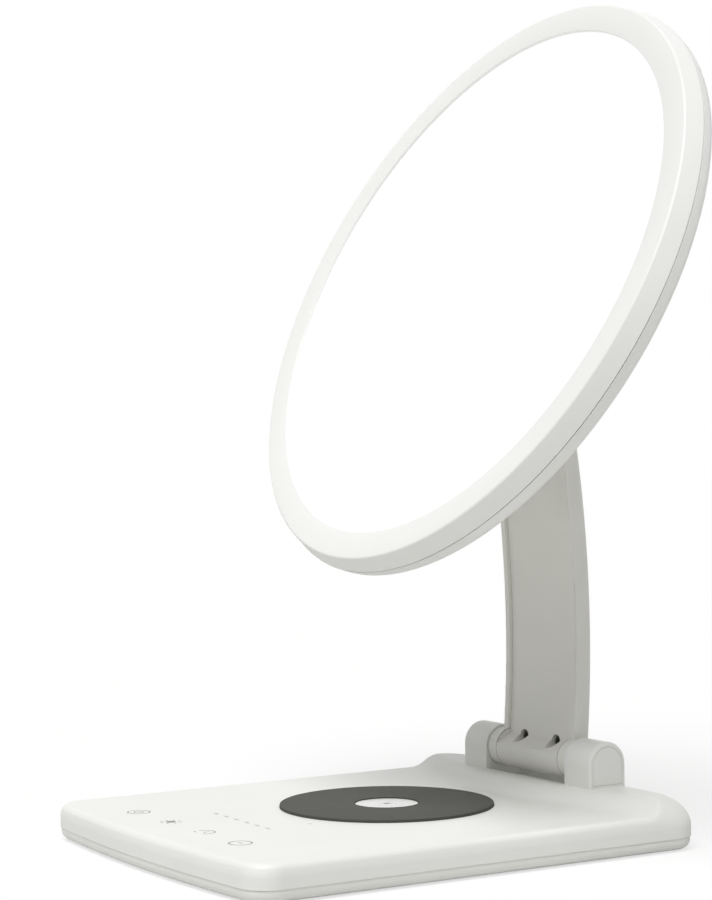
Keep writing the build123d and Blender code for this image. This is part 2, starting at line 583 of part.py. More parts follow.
def charging_pad_ring():
    """Dark soft ring on the deck on which a phone lies to charge."""
    ring = upright(PAD_RADIUS, DECK_Z - PAD_SINK, DECK_Z + PAD_STAND)
    ring -= upright(PAD_HOLE_RADIUS, 0, 2 * DECK_Z)
    ring = fillet(ring.edges().group_by(Axis.Z)[-1], PAD_STAND / 4)
    return Pos(0, PAD_Y, 0) * ring


def charging_pad_centre():
    """White disc set in the middle of the charging ring, a little lower than it."""
    disc = upright(PAD_HOLE_RADIUS - FIT, DECK_Z - PAD_SINK, DECK_Z + PAD_CENTRE_STAND)
    disc = fillet(disc.edges().group_by(Axis.Z)[-1], PAD_CENTRE_STAND / 3)
    return Pos(0, PAD_Y, 0) * disc


def charging_coil():
    """Flat copper coil glued under the deck below the charging ring."""
    coil = upright(COIL_OUTER_RADIUS, COVER_INNER_Z - COIL_THICKNESS, COVER_INNER_Z)
    return Pos(0, PAD_Y, 0) * (coil - upright(COIL_INNER_RADIUS, 0, DECK_Z))


def ferrite_sheet():
    """Ferrite sheet behind the coil, which keeps its field off the boards."""
    top = COVER_INNER_Z - COIL_THICKNESS
    side = 2 * (COIL_OUTER_RADIUS + FERRITE_MARGIN)
    sheet = extrude(RectangleRounded(side, side, FERRITE_MARGIN), FERRITE_THICKNESS)
    return Pos(0, PAD_Y, top - FERRITE_THICKNESS) * sheet


def board(width, length, middle, top_z, places):
    """Bare circuit board with its corner screw holes."""
    blank = Pos(*middle, top_z - BOARD_THICKNESS / 2) * Box(width, length, BOARD_THICKNESS)
    hole = upright(BOARD_SCREW_RADIUS + FIT / 2, 0, DECK_Z)
    return blank - [place * hole for place in places]


def touch_board():
    """Board under the front of the deck, with the key electrodes and the indicator LEDs' tracks."""
    places, top_z = board_mounts()[0]
    blank = board(TOUCH_BOARD_WIDTH, TOUCH_BOARD_LENGTH, (0, TOUCH_BOARD_Y), top_z, places)
    underside = top_z - BOARD_THICKNESS
    socket_y = TOUCH_BOARD_Y + TOUCH_BOARD_LENGTH / 2 - TOUCH_SOCKET_SIZE[1]
    chip = Pos(0, KEY_Y, underside - TOUCH_CHIP_SIZE[2] / 2) * Box(*TOUCH_CHIP_SIZE)
    socket = Pos(TOUCH_SOCKET_X, socket_y, underside - TOUCH_SOCKET_SIZE[2] / 2) * Box(*TOUCH_SOCKET_SIZE)
    return blank + chip + socket


def control_board():
    """Power and charging board behind the pad, with its inductor, capacitor and connectors."""
    places, top_z = board_mounts()[1]
    middle = (CONTROL_BOARD_X, CONTROL_BOARD_Y)
    blank = board(CONTROL_BOARD_WIDTH, CONTROL_BOARD_LENGTH, middle, top_z, places)
    inductor = Pos(-8, 4, 1.2) * Box(9, 9, 2.4)
    driver = Pos(5, 6, 0.5) * Box(6, 6, 1)
    socket = Pos(8, -6, 1.1) * Box(10, 5, 2.2)
    capacitor = Pos(-8, -7, 0) * upright(2.5, 0, 2.4)
    fitted = Pos(*middle, top_z) * (inductor + driver + socket + capacitor)
    return blank + fitted


def board_screws():
    """Small screws that hold both boards to the bosses under the cover."""
    screws = Part()
    for places, top_z in board_mounts():
        seat = top_z - BOARD_THICKNESS
        screw = upright(BOARD_SCREW_HEAD_RADIUS, seat - BOARD_SCREW_HEAD_HEIGHT, seat)
        screw += upright(BOARD_SCREW_RADIUS, seat, top_z + BOARD_SCREW_REACH)
        screws += [place * screw for place in places]
    return screws


def key_contacts():
    """Conductive foam pads that press the touch electrodes against the underside of the deck."""
    pad = upright(CONTACT_RADIUS, TOUCH_BOARD_TOP_Z, COVER_INNER_Z)
    return Part() + [Pos(x, KEY_Y, 0) * pad for x in KEY_X]


def indicator_leds():
    """LEDs on the touch board, one under each light pipe."""
    led = Pos(0, 0, TOUCH_BOARD_TOP_Z + INDICATOR_LED_SIZE[2] / 2) * Box(*INDICATOR_LED_SIZE)
    places = [Pos(x, LEVEL_Y, 0) for x in LEVEL_X] + [Pos(CHARGE_DOT_X, CHARGE_DOT_Y, 0)]
    return Part() + [place * led for place in places]


def level_light_guide():
    """Clear rail under the deck with six bars that show as dashes."""
    rail_z = COVER_INNER_Z - LEVEL_RAIL_THICKNESS / 2
    rail_length = LEVEL_PITCH * (LEVEL_COUNT - 1) + 2 * LEVEL_LENGTH
    guide = Pos(0, LEVEL_Y, rail_z) * Box(rail_length, 3 * LEVEL_WIDTH, LEVEL_RAIL_THICKNESS)
    bar_half = (LEVEL_LENGTH / 2, LEVEL_WIDTH / 2)
    for x in LEVEL_X:
        guide += slab(
            (x - bar_half[0], x + bar_half[0]),
            (LEVEL_Y - bar_half[1], LEVEL_Y + bar_half[1]),
            (rail_z, DECK_Z - LIGHT_PIPE_SINK),
        )
    return guide


def charge_light_guide():
    """Clear pin that shows as the charging dot."""
    guide = upright(CHARGE_DOT_RADIUS, COVER_INNER_Z, DECK_Z - LIGHT_PIPE_SINK)
    guide += upright(3 * CHARGE_DOT_RADIUS, COVER_INNER_Z - LEVEL_RAIL_THICKNESS, COVER_INNER_Z)
    return Pos(CHARGE_DOT_X, CHARGE_DOT_Y, 0) * guide


def power_inlet():
    """Round low-voltage inlet behind the rear wall, with its centre contact."""
    seat_y = BASE_REAR_Y - JACK_SEAT_DEPTH
    face_y = BASE_REAR_Y - JACK_FACE_DEPTH
    body = slab(
        (-JACK_BODY_WIDTH / 2, JACK_BODY_WIDTH / 2),
        (seat_y - JACK_BODY_LENGTH, seat_y),
        (-JACK_BODY_HEIGHT / 2, JACK_BODY_HEIGHT / 2),
    )
    inlet = body + backbar(JACK_NOSE_RADIUS, seat_y, face_y)
    inlet -= backbar(JACK_BORE_RADIUS, face_y - JACK_BORE_DEPTH, face_y)
    inlet += backbar(JACK_PIN_RADIUS, face_y - JACK_BORE_DEPTH - 1, face_y - JACK_PIN_DEPTH)
    return Pos(0, 0, JACK_Z) * inlet


def base_ear_brackets():
    """Steel plates under the plateau that the ear screws pull against."""
    plates = Part()
    half_length = BRACKET_SCREW_SPREAD + BRACKET_SCREW_HEAD_RADIUS
    z_range = (-BASE_EAR_DROP - BRACKET_THICKNESS, -BASE_EAR_DROP)
    for side in SIDES:
        x_range = (side * (EAR_INNER_X + WALL + FIT), side * (EAR_OUTER_X + WALL))
        plates += slab(x_range, (-half_length, half_length), z_range)
    return BASE_HINGE * (plates - ear_screw_holes(BASE_EAR_DROP))


# ---------------------------------------------------------------- hinge hardware, in the hinge's own frame


def hinge_pin():
    """Steel pin through both ears and the barrel, with a round head on the left."""
    pin = crossbar(PIN_RADIUS, -EAR_POCKET_FLOOR_X, EAR_POCKET_FLOOR_X + PIN_NUT_HEIGHT)
    head = crossbar(PIN_HEAD_RADIUS, -EAR_POCKET_FLOOR_X - PIN_HEAD_HEIGHT, -EAR_POCKET_FLOOR_X)
    return pin + chamfer(head.edges().sort_by(Axis.X)[0], PIN_HEAD_HEIGHT / 5)


def hinge_nut():
    """Locking nut on the right end of the pin."""
    hexagon = Plane.YZ * RegularPolygon(PIN_NUT_RADIUS, 6)
    nut = Pos(EAR_POCKET_FLOOR_X, 0, 0) * extrude(hexagon, PIN_NUT_HEIGHT)
    return nut - crossbar(BORE_RADIUS, 0, EAR_OUTER_X)


def friction_washers():
    """Friction washers let into the barrel's ends, just proud of them towards the ears."""
    washer = crossbar(WASHER_RADIUS, WASHER_SEAT_X, EAR_INNER_X - WASHER_GAP)
    washer -= crossbar(BORE_RADIUS, 0, EAR_OUTER_X)
    return washer + mirror(washer, about=Plane.YZ)


def hinge_bush():
    """Plain bush between the pin and the arm's barrel."""
    bush = crossbar(BUSH_RADIUS, -WASHER_SEAT_X, WASHER_SEAT_X)
    return bush - crossbar(BORE_RADIUS, -EAR_OUTER_X, EAR_OUTER_X)


# ---------------------------------------------------------------- arm, drawn about its bend centre


def arm_band(front_radius, back_radius, half_angle, half_width):
    """Curved slab between two radii about the bend centre."""
    front = CenterArc((0, 0), front_radius, -half_angle, 2 * half_angle)
    back = CenterArc((0, 0), back_radius, -half_angle, 2 * half_angle)
    ends = [Line(front @ 0, back @ 0), Line(front @ 1, back @ 1)]
    return extrude(Plane.YZ * make_face(Curve() + [front, back, *ends]), half_width, both=True)


def both_arm_ends(piece):
    """A piece drawn about the lower pin, placed at the lower end and mirrored to the upper end."""
    lower = ARM_LOWER_END * piece
    return lower + mirror(lower, about=Plane.XY)


def arm_form():
    """The arm's whole outer form: bowed bar with a rounded back and a barrel at each end."""
    bar = arm_band(ARM_FRONT_RADIUS, ARM_BACK_RADIUS, ARM_HALF_ANGLE, ARM_HALF_WIDTH)
    arcs = bar.edges().filter_by(GeomType.CIRCLE)
    back_edges = [edge for edge in arcs if edge.radius > ARM_BEND_RADIUS]
    bar = fillet(back_edges, ARM_REAR_ROUND)
    arcs = bar.edges().filter_by(GeomType.CIRCLE)
    front_edges = [edge for edge in arcs if abs(edge.radius - ARM_FRONT_RADIUS) < 0.01]
    bar = fillet(front_edges, ARM_FRONT_ROUND)
    return bar + both_arm_ends(crossbar(BARREL_RADIUS, -BARREL_HALF_LENGTH, BARREL_HALF_LENGTH))


def plate_zone(gap):
    """Space of the inset front cover: ahead of the bend circle, between the rear shell's sides."""
    past_barrel = math.degrees(2 * BARREL_RADIUS / ARM_BEND_RADIUS)
    front_radius = ARM_FRONT_RADIUS - 2 * BARREL_RADIUS
    return arm_band(front_radius, ARM_BEND_RADIUS - gap, ARM_HALF_ANGLE + past_barrel, PLATE_HALF_WIDTH - gap)


def clamp_places():
    """The two clamp screw places at one end, in that end's own frame."""
    return [Pos(side * CLAMP_X, 0, CLAMP_RISE) for side in SIDES]


def barrel_bore():
    """Bore through a barrel for its bush, in the end's own frame."""
    return crossbar(BARREL_BORE_RADIUS, -EAR_INNER_X, EAR_INNER_X)


def tube_bores(radius, side_gap):
    """Two short bores about the pin for the spine's tubes, in the end's own frame."""
    bore = crossbar(radius, SPINE_FORK_HALF - side_gap, SPINE_HALF_WIDTH + side_gap)
    return bore + mirror(bore, about=Plane.YZ)


def washer_pockets():
    """Round pockets in a barrel's two ends for the friction washers, in the end's own frame."""
    pocket = crossbar(WASHER_RADIUS + PIN_CLEARANCE, WASHER_SEAT_X, EAR_INNER_X)
    return pocket + mirror(pocket, about=Plane.YZ)


def sloped_barrel():
    """Barrel with the slope that runs up from its front to the plate, in the end's own frame."""
    reach = 2 * BARREL_RADIUS
    above_slope = slab((-EAR_INNER_X, EAR_INNER_X), (-reach, reach), (SLOPE_DEPTH, SLOPE_DEPTH + reach))
    return crossbar(BARREL_RADIUS, -PLATE_HALF_WIDTH, PLATE_HALF_WIDTH) - Rot(SLOPE_TILT, 0, 0) * above_slope


def arm_front_cover():
    """Front cover: a sunk, bowed plate that also forms the front half of each barrel, with screw bosses."""
    plate = arm_band(PLATE_RADIUS, ARM_BEND_RADIUS, ARM_HALF_ANGLE, PLATE_HALF_WIDTH)
    cover = (plate + both_arm_ends(sloped_barrel())) & plate_zone(PLATE_GAP)
    for place in clamp_places():
        cover += both_arm_ends(place * backbar(CLAMP_BOSS_RADIUS, -ARM_FACE_TO_AXIS / 4, CLAMP_BOSS_BACK))
    bores = barrel_bore() + tube_bores(SPINE_TUBE_RADIUS + FIT / 2, FIT / 2)
    for place in clamp_places():
        bores += place * backbar(CLAMP_BORE_RADIUS, -2 * BARREL_RADIUS, CLAMP_SEAT)
        bores += place * backbar(CLAMP_SHANK_RADIUS + FIT / 2, 0, CLAMP_BOSS_BACK + 1)
    return ARM * (cover - both_arm_ends(bores))


def arm_rear_shell():
    """C-shaped rear shell with solid ends that form the rear half and the cheeks of each barrel."""
    shell = arm_form() - plate_zone(0)
    hollow_angle = ARM_HALF_ANGLE - ARM_END_ANGLE
    hollow = arm_band(ARM_BEND_RADIUS - 1, ARM_BACK_RADIUS - ARM_WALL, hollow_angle, PLATE_HALF_WIDTH)
    arcs = hollow.edges().filter_by(GeomType.CIRCLE)
    hollow = fillet([edge for edge in arcs if edge.radius > ARM_BEND_RADIUS], ARM_REAR_ROUND - ARM_WALL)
    cuts = barrel_bore() + tube_bores(SPINE_TUBE_RADIUS + FIT / 2, FIT / 2) + washer_pockets()
    slot_back = PLATE_GAP + SPINE_THICKNESS + FIT / 2
    for side in SIDES:
        slot_x = (side * (SPINE_FORK_HALF - FIT / 2), side * (SPINE_HALF_WIDTH + FIT / 2))
        cuts += slab(slot_x, (-1, slot_back), (0, ARM_SOLID_END + 1))
    for place in clamp_places():
        cuts += place * backbar(CLAMP_BOSS_RADIUS + FIT, -1, CLAMP_BOSS_BACK + FIT)
        cuts += place * backbar(CLAMP_SHANK_RADIUS + PIN_CLEARANCE, 0, CLAMP_REACH + FIT)
    return ARM * (shell - hollow - both_arm_ends(cuts))


def arm_spine():
    """Bowed steel strip inside the arm, forked at each end round the screws and welded to tubes."""
    spine = arm_band(SPINE_FRONT_RADIUS, SPINE_BACK_RADIUS, ARM_HALF_ANGLE, SPINE_HALF_WIDTH)
    fork_x = (-SPINE_FORK_HALF, SPINE_FORK_HALF)
    spine -= both_arm_ends(slab(fork_x, (-BARREL_RADIUS, BARREL_RADIUS), (-BARREL_RADIUS, ARM_SOLID_END + 1)))
    spine += both_arm_ends(tube_bores(SPINE_TUBE_RADIUS, 0))
    return ARM * (spine - both_arm_ends(barrel_bore()))


def arm_lead():
    """Two-core lead that runs up behind the spine, with a plug on each end."""
    half_angle = ARM_HALF_ANGLE - 2 * ARM_END_ANGLE
    path = Plane.YZ * CenterArc((0, 0), LEAD_BEND_RADIUS, -half_angle, 2 * half_angle)
    lead = sweep(Plane(path @ 0, z_dir=path % 0) * Circle(LEAD_RADIUS), path)
    plug = Rot(-half_angle, 0, 0) * Pos(0, LEAD_BEND_RADIUS, 0) * Box(*LEAD_PLUG)
    return ARM * (lead + plug + mirror(plug, about=Plane.XY))


def arm_clamp_screws():
    """Screws that clamp the front cover to the rear shell round each barrel."""
    screws = Part()
    for place in clamp_places():
        screw = backbar(CLAMP_HEAD_RADIUS, CLAMP_SEAT - CLAMP_HEAD_HEIGHT, CLAMP_SEAT)
        screw += backbar(CLAMP_SHANK_RADIUS, CLAMP_SEAT, CLAMP_REACH)
        screw -= backbar(CLAMP_SHANK_RADIUS, -CLAMP_HEAD_HEIGHT, CLAMP_SEAT - CLAMP_HEAD_HEIGHT / 2)
        screws += both_arm_ends(place * screw)
    return ARM * screws


# ---------------------------------------------------------------- panel, drawn upright and facing -Y


def panel_bezel():
    """Front ring: gently sloped face, rounded shoulder, side wall and the seat for the diffuser."""
    parting = PANEL_PARTING_DEPTH - SEAM / 2
    inner_side = PANEL_RADIUS - PANEL_WALL
    seat_depth = GUIDE_DEPTH - STACK_GAP
    seat_radius = DIFFUSER_RADIUS + FIT
    face = Line((BEZEL_INNER_RADIUS, BEZEL_LIP_DROP), (PANEL_RIM_RADIUS, 0))
    shoulder = TangentArc(face @ 1, (PANEL_SIDE_RADIUS, PANEL_SHOULDER_DEPTH), tangent=(1, 0))
    rest = Polyline(
        shoulder @ 1,
        (PANEL_RADIUS, parting),
        (inner_side, parting),
        (inner_side, seat_depth),
        (seat_radius, seat_depth),
        (seat_radius, DIFFUSER_DEPTH),
        (BEZEL_INNER_RADIUS, DIFFUSER_DEPTH),
        face @ 0,
    )
    return PANEL * revolve(make_face(Curve() + [face, shoulder, rest]), Axis.Y)


def diffuser():
    """Opal disc behind the bezel."""
    disc = backbar(DIFFUSER_RADIUS, DIFFUSER_DEPTH, DIFFUSER_DEPTH + DIFFUSER_THICKNESS)
    return PANEL * disc


def light_guide():
    """Clear acrylic plate that spreads the light from its edge."""
    return PANEL * backbar(GUIDE_RADIUS, GUIDE_DEPTH, GUIDE_DEPTH + GUIDE_THICKNESS)


def reflector_sheet():
    """White sheet behind the light guide."""
    return PANEL * backbar(GUIDE_RADIUS, REFLECTOR_DEPTH, REFLECTOR_DEPTH + REFLECTOR_THICKNESS)


def heat_frame():
    """Aluminium pan behind the light guide; its turned-up rim carries and cools the LED strip."""
    inner = FRAME_RADIUS - FRAME_FLANGE
    pan = turned(
        [
            (0, FRAME_DEPTH),
            (inner, FRAME_DEPTH),
            (inner, GUIDE_DEPTH + FIT),
            (FRAME_RADIUS, GUIDE_DEPTH + FIT),
            (FRAME_RADIUS, FRAME_BACK_DEPTH),
            (0, FRAME_BACK_DEPTH),
        ]
    )
    hole = backbar(PANEL_SCREW_RADIUS + PIN_CLEARANCE, FRAME_DEPTH - 1, FRAME_BACK_DEPTH + 1)
    return PANEL * (pan - [place * hole for place in panel_screw_places()])


def led_strip():
    """Flexible LED strip glued round the inside of the frame's rim."""
    half = STRIP_HEIGHT / 2
    ring = backbar(STRIP_OUTER_RADIUS, STRIP_MIDDLE_DEPTH - half, STRIP_MIDDLE_DEPTH + half)
    ring -= backbar(STRIP_OUTER_RADIUS - STRIP_THICKNESS, 0, PANEL_DEPTH)
    return PANEL * ring


def led_chips():
    """White LEDs on the strip, all facing the edge of the light guide."""
    middle = CHIP_BACK_RADIUS - CHIP_SIZE[0] / 2
    chip = Pos(middle, STRIP_MIDDLE_DEPTH, 0) * Box(*CHIP_SIZE)
    return PANEL * (Part() + [Rot(0, 360 * i / CHIP_COUNT, 0) * chip for i in range(CHIP_COUNT)])


def panel_screw_places():
    """Places of the rear screws on their circle, none of them behind the hinge."""
    step = 360 / PANEL_SCREW_COUNT
    return [Rot(0, step * (i + 0.5), 0) * Pos(PANEL_SCREW_CIRCLE, 0, 0) for i in range(PANEL_SCREW_COUNT)]


def panel_rear_shell():
    """Rear shell: flat back with a rounded edge, a tongue inside the bezel, bosses and two ears."""
    parting = PANEL_PARTING_DEPTH + SEAM / 2
    inner_round = PANEL_REAR_ROUND - PANEL_WALL / 2
    outer_side = Line((PANEL_RADIUS, parting), (PANEL_SIDE_RADIUS, PANEL_DEPTH - PANEL_REAR_ROUND))
    outer_corner = TangentArc(
        outer_side @ 1, (PANEL_SIDE_RADIUS - PANEL_REAR_ROUND, PANEL_DEPTH), tangent=(0, 1)
    )
    inner_start = (PANEL_INNER_RADIUS - inner_round, PANEL_INNER_DEPTH)
    inner_end = (PANEL_INNER_RADIUS, PANEL_INNER_DEPTH - inner_round)
    inner_arc = TangentArc(inner_start, inner_end, tangent=(1, 0))
    tongue_outer = PANEL_RADIUS - PANEL_WALL - FIT
    tongue_front = GUIDE_DEPTH + FIT
    floor = Polyline(outer_corner @ 1, (0, PANEL_DEPTH), (0, PANEL_INNER_DEPTH), inner_arc @ 0)
    wall = Polyline(
        inner_arc @ 1,
        (tongue_outer - PANEL_TONGUE, PANEL_INNER_DEPTH - inner_round),
        (tongue_outer - PANEL_TONGUE, tongue_front),
        (tongue_outer, tongue_front),
        (tongue_outer, parting),
        outer_side @ 0,
    )
    shell = revolve(make_face(Curve() + [outer_side, outer_corner, floor, inner_arc, wall]), Axis.Y)
    boss = backbar(PANEL_BOSS_RADIUS, FRAME_BACK_DEPTH, PANEL_INNER_DEPTH + SEAM)
    screw_hole = backbar(PANEL_SCREW_RADIUS + PIN_CLEARANCE, FRAME_DEPTH, PANEL_DEPTH)
    screw_hole += backbar(PANEL_SCREW_HEAD_RADIUS + FIT, PANEL_DEPTH - PANEL_SCREW_RECESS, PANEL_DEPTH + 1)
    peg = backbar(BOARD_BOSS_RADIUS, PANEL_INNER_DEPTH - DRIVER_BOARD_PEG, PANEL_INNER_DEPTH + SEAM)
    shell += [place * boss for place in panel_screw_places()]
    shell -= [place * screw_hole for place in panel_screw_places()]
    shell = PANEL * (shell + [place * peg for place in driver_board_pegs()])
    for side in SIDES:
        shell += PANEL_HINGE * hinge_ear(side, PANEL_EAR_DROP)
    shell -= PANEL_HINGE * ear_hollows(PANEL_CAP_DROP)
    return shell - PANEL_HINGE * ear_screw_holes(PANEL_EAR_DROP)


def panel_screws():
    """Screws through the rear shell's bosses into the heat frame."""
    seat = PANEL_DEPTH - PANEL_SCREW_RECESS
    screw = backbar(PANEL_SCREW_HEAD_RADIUS, seat, seat + PANEL_SCREW_HEAD_HEIGHT)
    screw += backbar(PANEL_SCREW_RADIUS, FRAME_DEPTH + STACK_GAP, seat)
    screw -= backbar(PANEL_SCREW_RADIUS, seat + PANEL_SCREW_HEAD_HEIGHT / 2, PANEL_DEPTH)
    return PANEL * (Part() + [place * screw for place in panel_screw_places()])


def driver_board_pegs():
    """Pegs on the rear shell that the driver board sits on."""
    x = DRIVER_BOARD_WIDTH / 2 - BOARD_MARGIN
    z = DRIVER_BOARD_HEIGHT / 2 - BOARD_MARGIN
    return [Pos(a * x, 0, DRIVER_BOARD_DROP + b * z) for a in SIDES for b in SIDES]


def led_driver_board():
    """LED driver board in the space between the heat frame and the rear shell."""
    blank = Pos(0, -BOARD_THICKNESS / 2, 0) * Box(DRIVER_BOARD_WIDTH, BOARD_THICKNESS, DRIVER_BOARD_HEIGHT)
    chip = Pos(12, 0.4, 0) * Box(6, 0.8, 6)
    coil = Pos(-10, 0.6, 0) * Box(8, 1.2, 8)
    return PANEL * Pos(0, PANEL_INNER_DEPTH - DRIVER_BOARD_PEG, DRIVER_BOARD_DROP) * (blank + chip + coil)


def panel_hinge_plate():
    """Steel plate inside the rear shell that the ear screws pull against."""
    half_height = EAR_RADIUS + PANEL_WALL
    z_range = (-PANEL_EAR_DROP - BRACKET_THICKNESS, -PANEL_EAR_DROP)
    plate = slab((-EAR_OUTER_X, EAR_OUTER_X), (-half_height, half_height), z_range)
    return PANEL_HINGE * (plate - ear_screw_holes(PANEL_EAR_DROP))


PIECES = {
    "base_top_cover": base_top_cover(),
    "base_bottom_tray": base_bottom_tray(),
    "anti_slip_mat": anti_slip_mat(),
    "base_screws": base_screws(),
    "ballast_plate": ballast_plate(),
    "charging_pad_ring": charging_pad_ring(),
    "charging_pad_centre": charging_pad_centre(),
    "charging_coil": charging_coil(),
    "ferrite_sheet": ferrite_sheet(),
    "touch_board": touch_board(),
    "control_board": control_board(),
    "board_screws": board_screws(),
    "key_contacts": key_contacts(),
    "indicator_leds": indicator_leds(),
    "level_light_guide": level_light_guide(),
    "charge_light_guide": charge_light_guide(),
    "power_inlet": power_inlet(),
    "base_ear_brackets": base_ear_brackets(),
    "base_ear_screws": BASE_HINGE * ear_bracket_screws(BASE_EAR_DROP),
    "base_ear_cap_left": BASE_HINGE * ear_cap(-1, BASE_CAP_DROP),
    "base_ear_cap_right": BASE_HINGE * ear_cap(1, BASE_CAP_DROP),
    "lower_hinge_pin": BASE_HINGE * hinge_pin(),
    "lower_hinge_nut": BASE_HINGE * hinge_nut(),
    "lower_friction_washers": BASE_HINGE * friction_washers(),
    "lower_hinge_bush": BASE_HINGE * hinge_bush(),
    "arm_front_cover": arm_front_cover(),
    "arm_rear_shell": arm_rear_shell(),
    "arm_spine": arm_spine(),
    "arm_lead": arm_lead(),
    "arm_clamp_screws": arm_clamp_screws(),
    "upper_friction_washers": ARM * ARM_UPPER_END * friction_washers(),
    "upper_hinge_bush": ARM * ARM_UPPER_END * hinge_bush(),
    "upper_hinge_pin": PANEL_HINGE * hinge_pin(),
    "upper_hinge_nut": PANEL_HINGE * hinge_nut(),
    "panel_ear_cap_left": PANEL_HINGE * ear_cap(-1, PANEL_CAP_DROP),
    "panel_ear_cap_right": PANEL_HINGE * ear_cap(1, PANEL_CAP_DROP),
    "panel_hinge_plate": panel_hinge_plate(),
    "panel_ear_screws": PANEL_HINGE * ear_bracket_screws(PANEL_EAR_DROP),
    "panel_rear_shell": panel_rear_shell(),
    "panel_bezel": panel_bezel(),
    "diffuser": diffuser(),
    "light_guide": light_guide(),
    "reflector_sheet": reflector_sheet(),
    "heat_frame": heat_frame(),
    "led_strip": led_strip(),
    "led_chips": led_chips(),
    "led_driver_board": led_driver_board(),
    "panel_screws": panel_screws(),
}

for name, piece in PIECES.items():
    export_step(piece, f"parts/{name}.step")
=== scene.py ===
import math

import bmesh
import bpy
from mathutils import Euler, Matrix, Vector


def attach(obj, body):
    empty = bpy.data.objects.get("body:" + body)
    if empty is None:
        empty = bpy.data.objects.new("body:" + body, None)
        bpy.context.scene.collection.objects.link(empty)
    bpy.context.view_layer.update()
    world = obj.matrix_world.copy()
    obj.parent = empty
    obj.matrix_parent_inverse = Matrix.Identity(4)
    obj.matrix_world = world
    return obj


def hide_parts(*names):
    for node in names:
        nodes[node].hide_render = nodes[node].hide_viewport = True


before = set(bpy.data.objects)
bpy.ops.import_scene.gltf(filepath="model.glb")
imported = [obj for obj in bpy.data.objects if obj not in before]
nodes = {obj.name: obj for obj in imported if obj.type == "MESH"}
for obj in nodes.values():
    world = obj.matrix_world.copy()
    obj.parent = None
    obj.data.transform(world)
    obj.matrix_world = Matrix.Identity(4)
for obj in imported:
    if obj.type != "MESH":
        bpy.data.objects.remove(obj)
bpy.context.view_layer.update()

# ---------------------------------------------------------------- camera
# A long lens at desk height, about a metre from the lamp's front corner on the +X side. It looks
# almost level, and is turned a trace about its own axis.
camera_data = bpy.data.cameras.new("camera")
camera_data.lens = 92.0
camera_data.sensor_width = 36.0
camera_data.clip_start = 0.05
camera_data.clip_end = 50.0
camera = bpy.data.objects.new("camera", camera_data)
camera.location = (0.8210, -0.5014, 0.1705)
camera.rotation_euler = [math.radians(angle) for angle in (89.662, 0.700, 58.834)]
bpy.context.collection.objects.link(camera)
bpy.context.scene.camera = camera
bpy.context.scene.view_settings.view_transform = "Standard"

# ---------------------------------------------------------------- studio
# A white room that lights the lamp softly from all round, and one very wide soft light overhead,
# a little to the front. The room looks plain white to the eye and in anything shiny or clear.
world = bpy.data.worlds.new("studio")
bpy.context.scene.world = world
world.use_nodes = True
surroundings = world.node_tree
surroundings.nodes.clear()


def add_node(tree, kind, links=None, **values):
    """Adds a node, sets its named inputs or properties, and links other sockets to its inputs."""
    node = tree.nodes.new(kind)
    for name, value in values.items():
        if name in node.inputs:
            node.inputs[name].default_value = value
        else:
            setattr(node, name, value)
    for name, socket in (links or {}).items():
        tree.links.new(socket, node.inputs[name])
    return node


pure_white = (1.0, 1.0, 1.0, 1.0)
warm_white = (1.0, 0.995, 0.985, 1.0)
path = add_node(surroundings, "ShaderNodeLightPath")
shiny = add_node(
    surroundings,
    "ShaderNodeMath",
    {0: path.outputs["Is Glossy Ray"], 1: path.outputs["Is Transmission Ray"]},
    operation="MAXIMUM",
)
seen = add_node(
    surroundings,
    "ShaderNodeMath",
    {0: path.outputs["Is Camera Ray"], 1: shiny.outputs[0]},
    operation="MAXIMUM",
)
light = add_node(surroundings, "ShaderNodeBackground", Color=warm_white, Strength=0.37)
backdrop = add_node(surroundings, "ShaderNodeBackground", Color=pure_white, Strength=1.0)
room = add_node(
    surroundings,
    "ShaderNodeMixShader",
    {0: seen.outputs[0], 1: light.outputs[0], 2: backdrop.outputs[0]},
)
add_node(surroundings, "ShaderNodeOutputWorld", {"Surface": room.outputs[0]})
overhead_data = bpy.data.lights.new("overhead", "SUN")
overhead_data.energy = 2.2
overhead_data.angle = math.radians(42)
overhead = bpy.data.objects.new("overhead", overhead_data)
overhead_side = Vector((0.30, -0.42, 1.0))
overhead.rotation_euler = overhead_side.to_track_quat("Z", "Y").to_euler()
bpy.context.collection.objects.link(overhead)


# ---------------------------------------------------------------- floor
# A wide sheet of white paper under the lamp. To the eye it melts into the white room, and it keeps
# the lamp's soft shadow.
def linear(colour):
    """Scene-linear colour of an sRGB hex value."""
    parts = [int(colour[i : i + 2], 16) / 255 for i in (1, 3, 5)]
    return [p / 12.92 if p <= 0.04045 else ((p + 0.055) / 1.055) ** 2.4 for p in parts] + [1.0]


bpy.ops.mesh.primitive_circle_add(vertices=96, radius=8.0, fill_type="NGON", location=(0, 0, 0))
floor = bpy.context.object
floor.name = "floor"
# Matt white paper: it sends a plain, slightly grey light back up, and looks white where it is lit.
paper = bpy.data.materials.new("white studio paper")
paper.use_nodes = True
paper.node_tree.nodes.clear()
paper_path = add_node(paper.node_tree, "ShaderNodeLightPath")
paper_sheet = add_node(paper.node_tree, "ShaderNodeBsdfDiffuse", Color=linear("#DDDDDB"))
paper_white = add_node(paper.node_tree, "ShaderNodeBsdfDiffuse", Color=pure_white)
paper_glow = add_node(paper.node_tree, "ShaderNodeEmission", Color=pure_white, Strength=1.0)
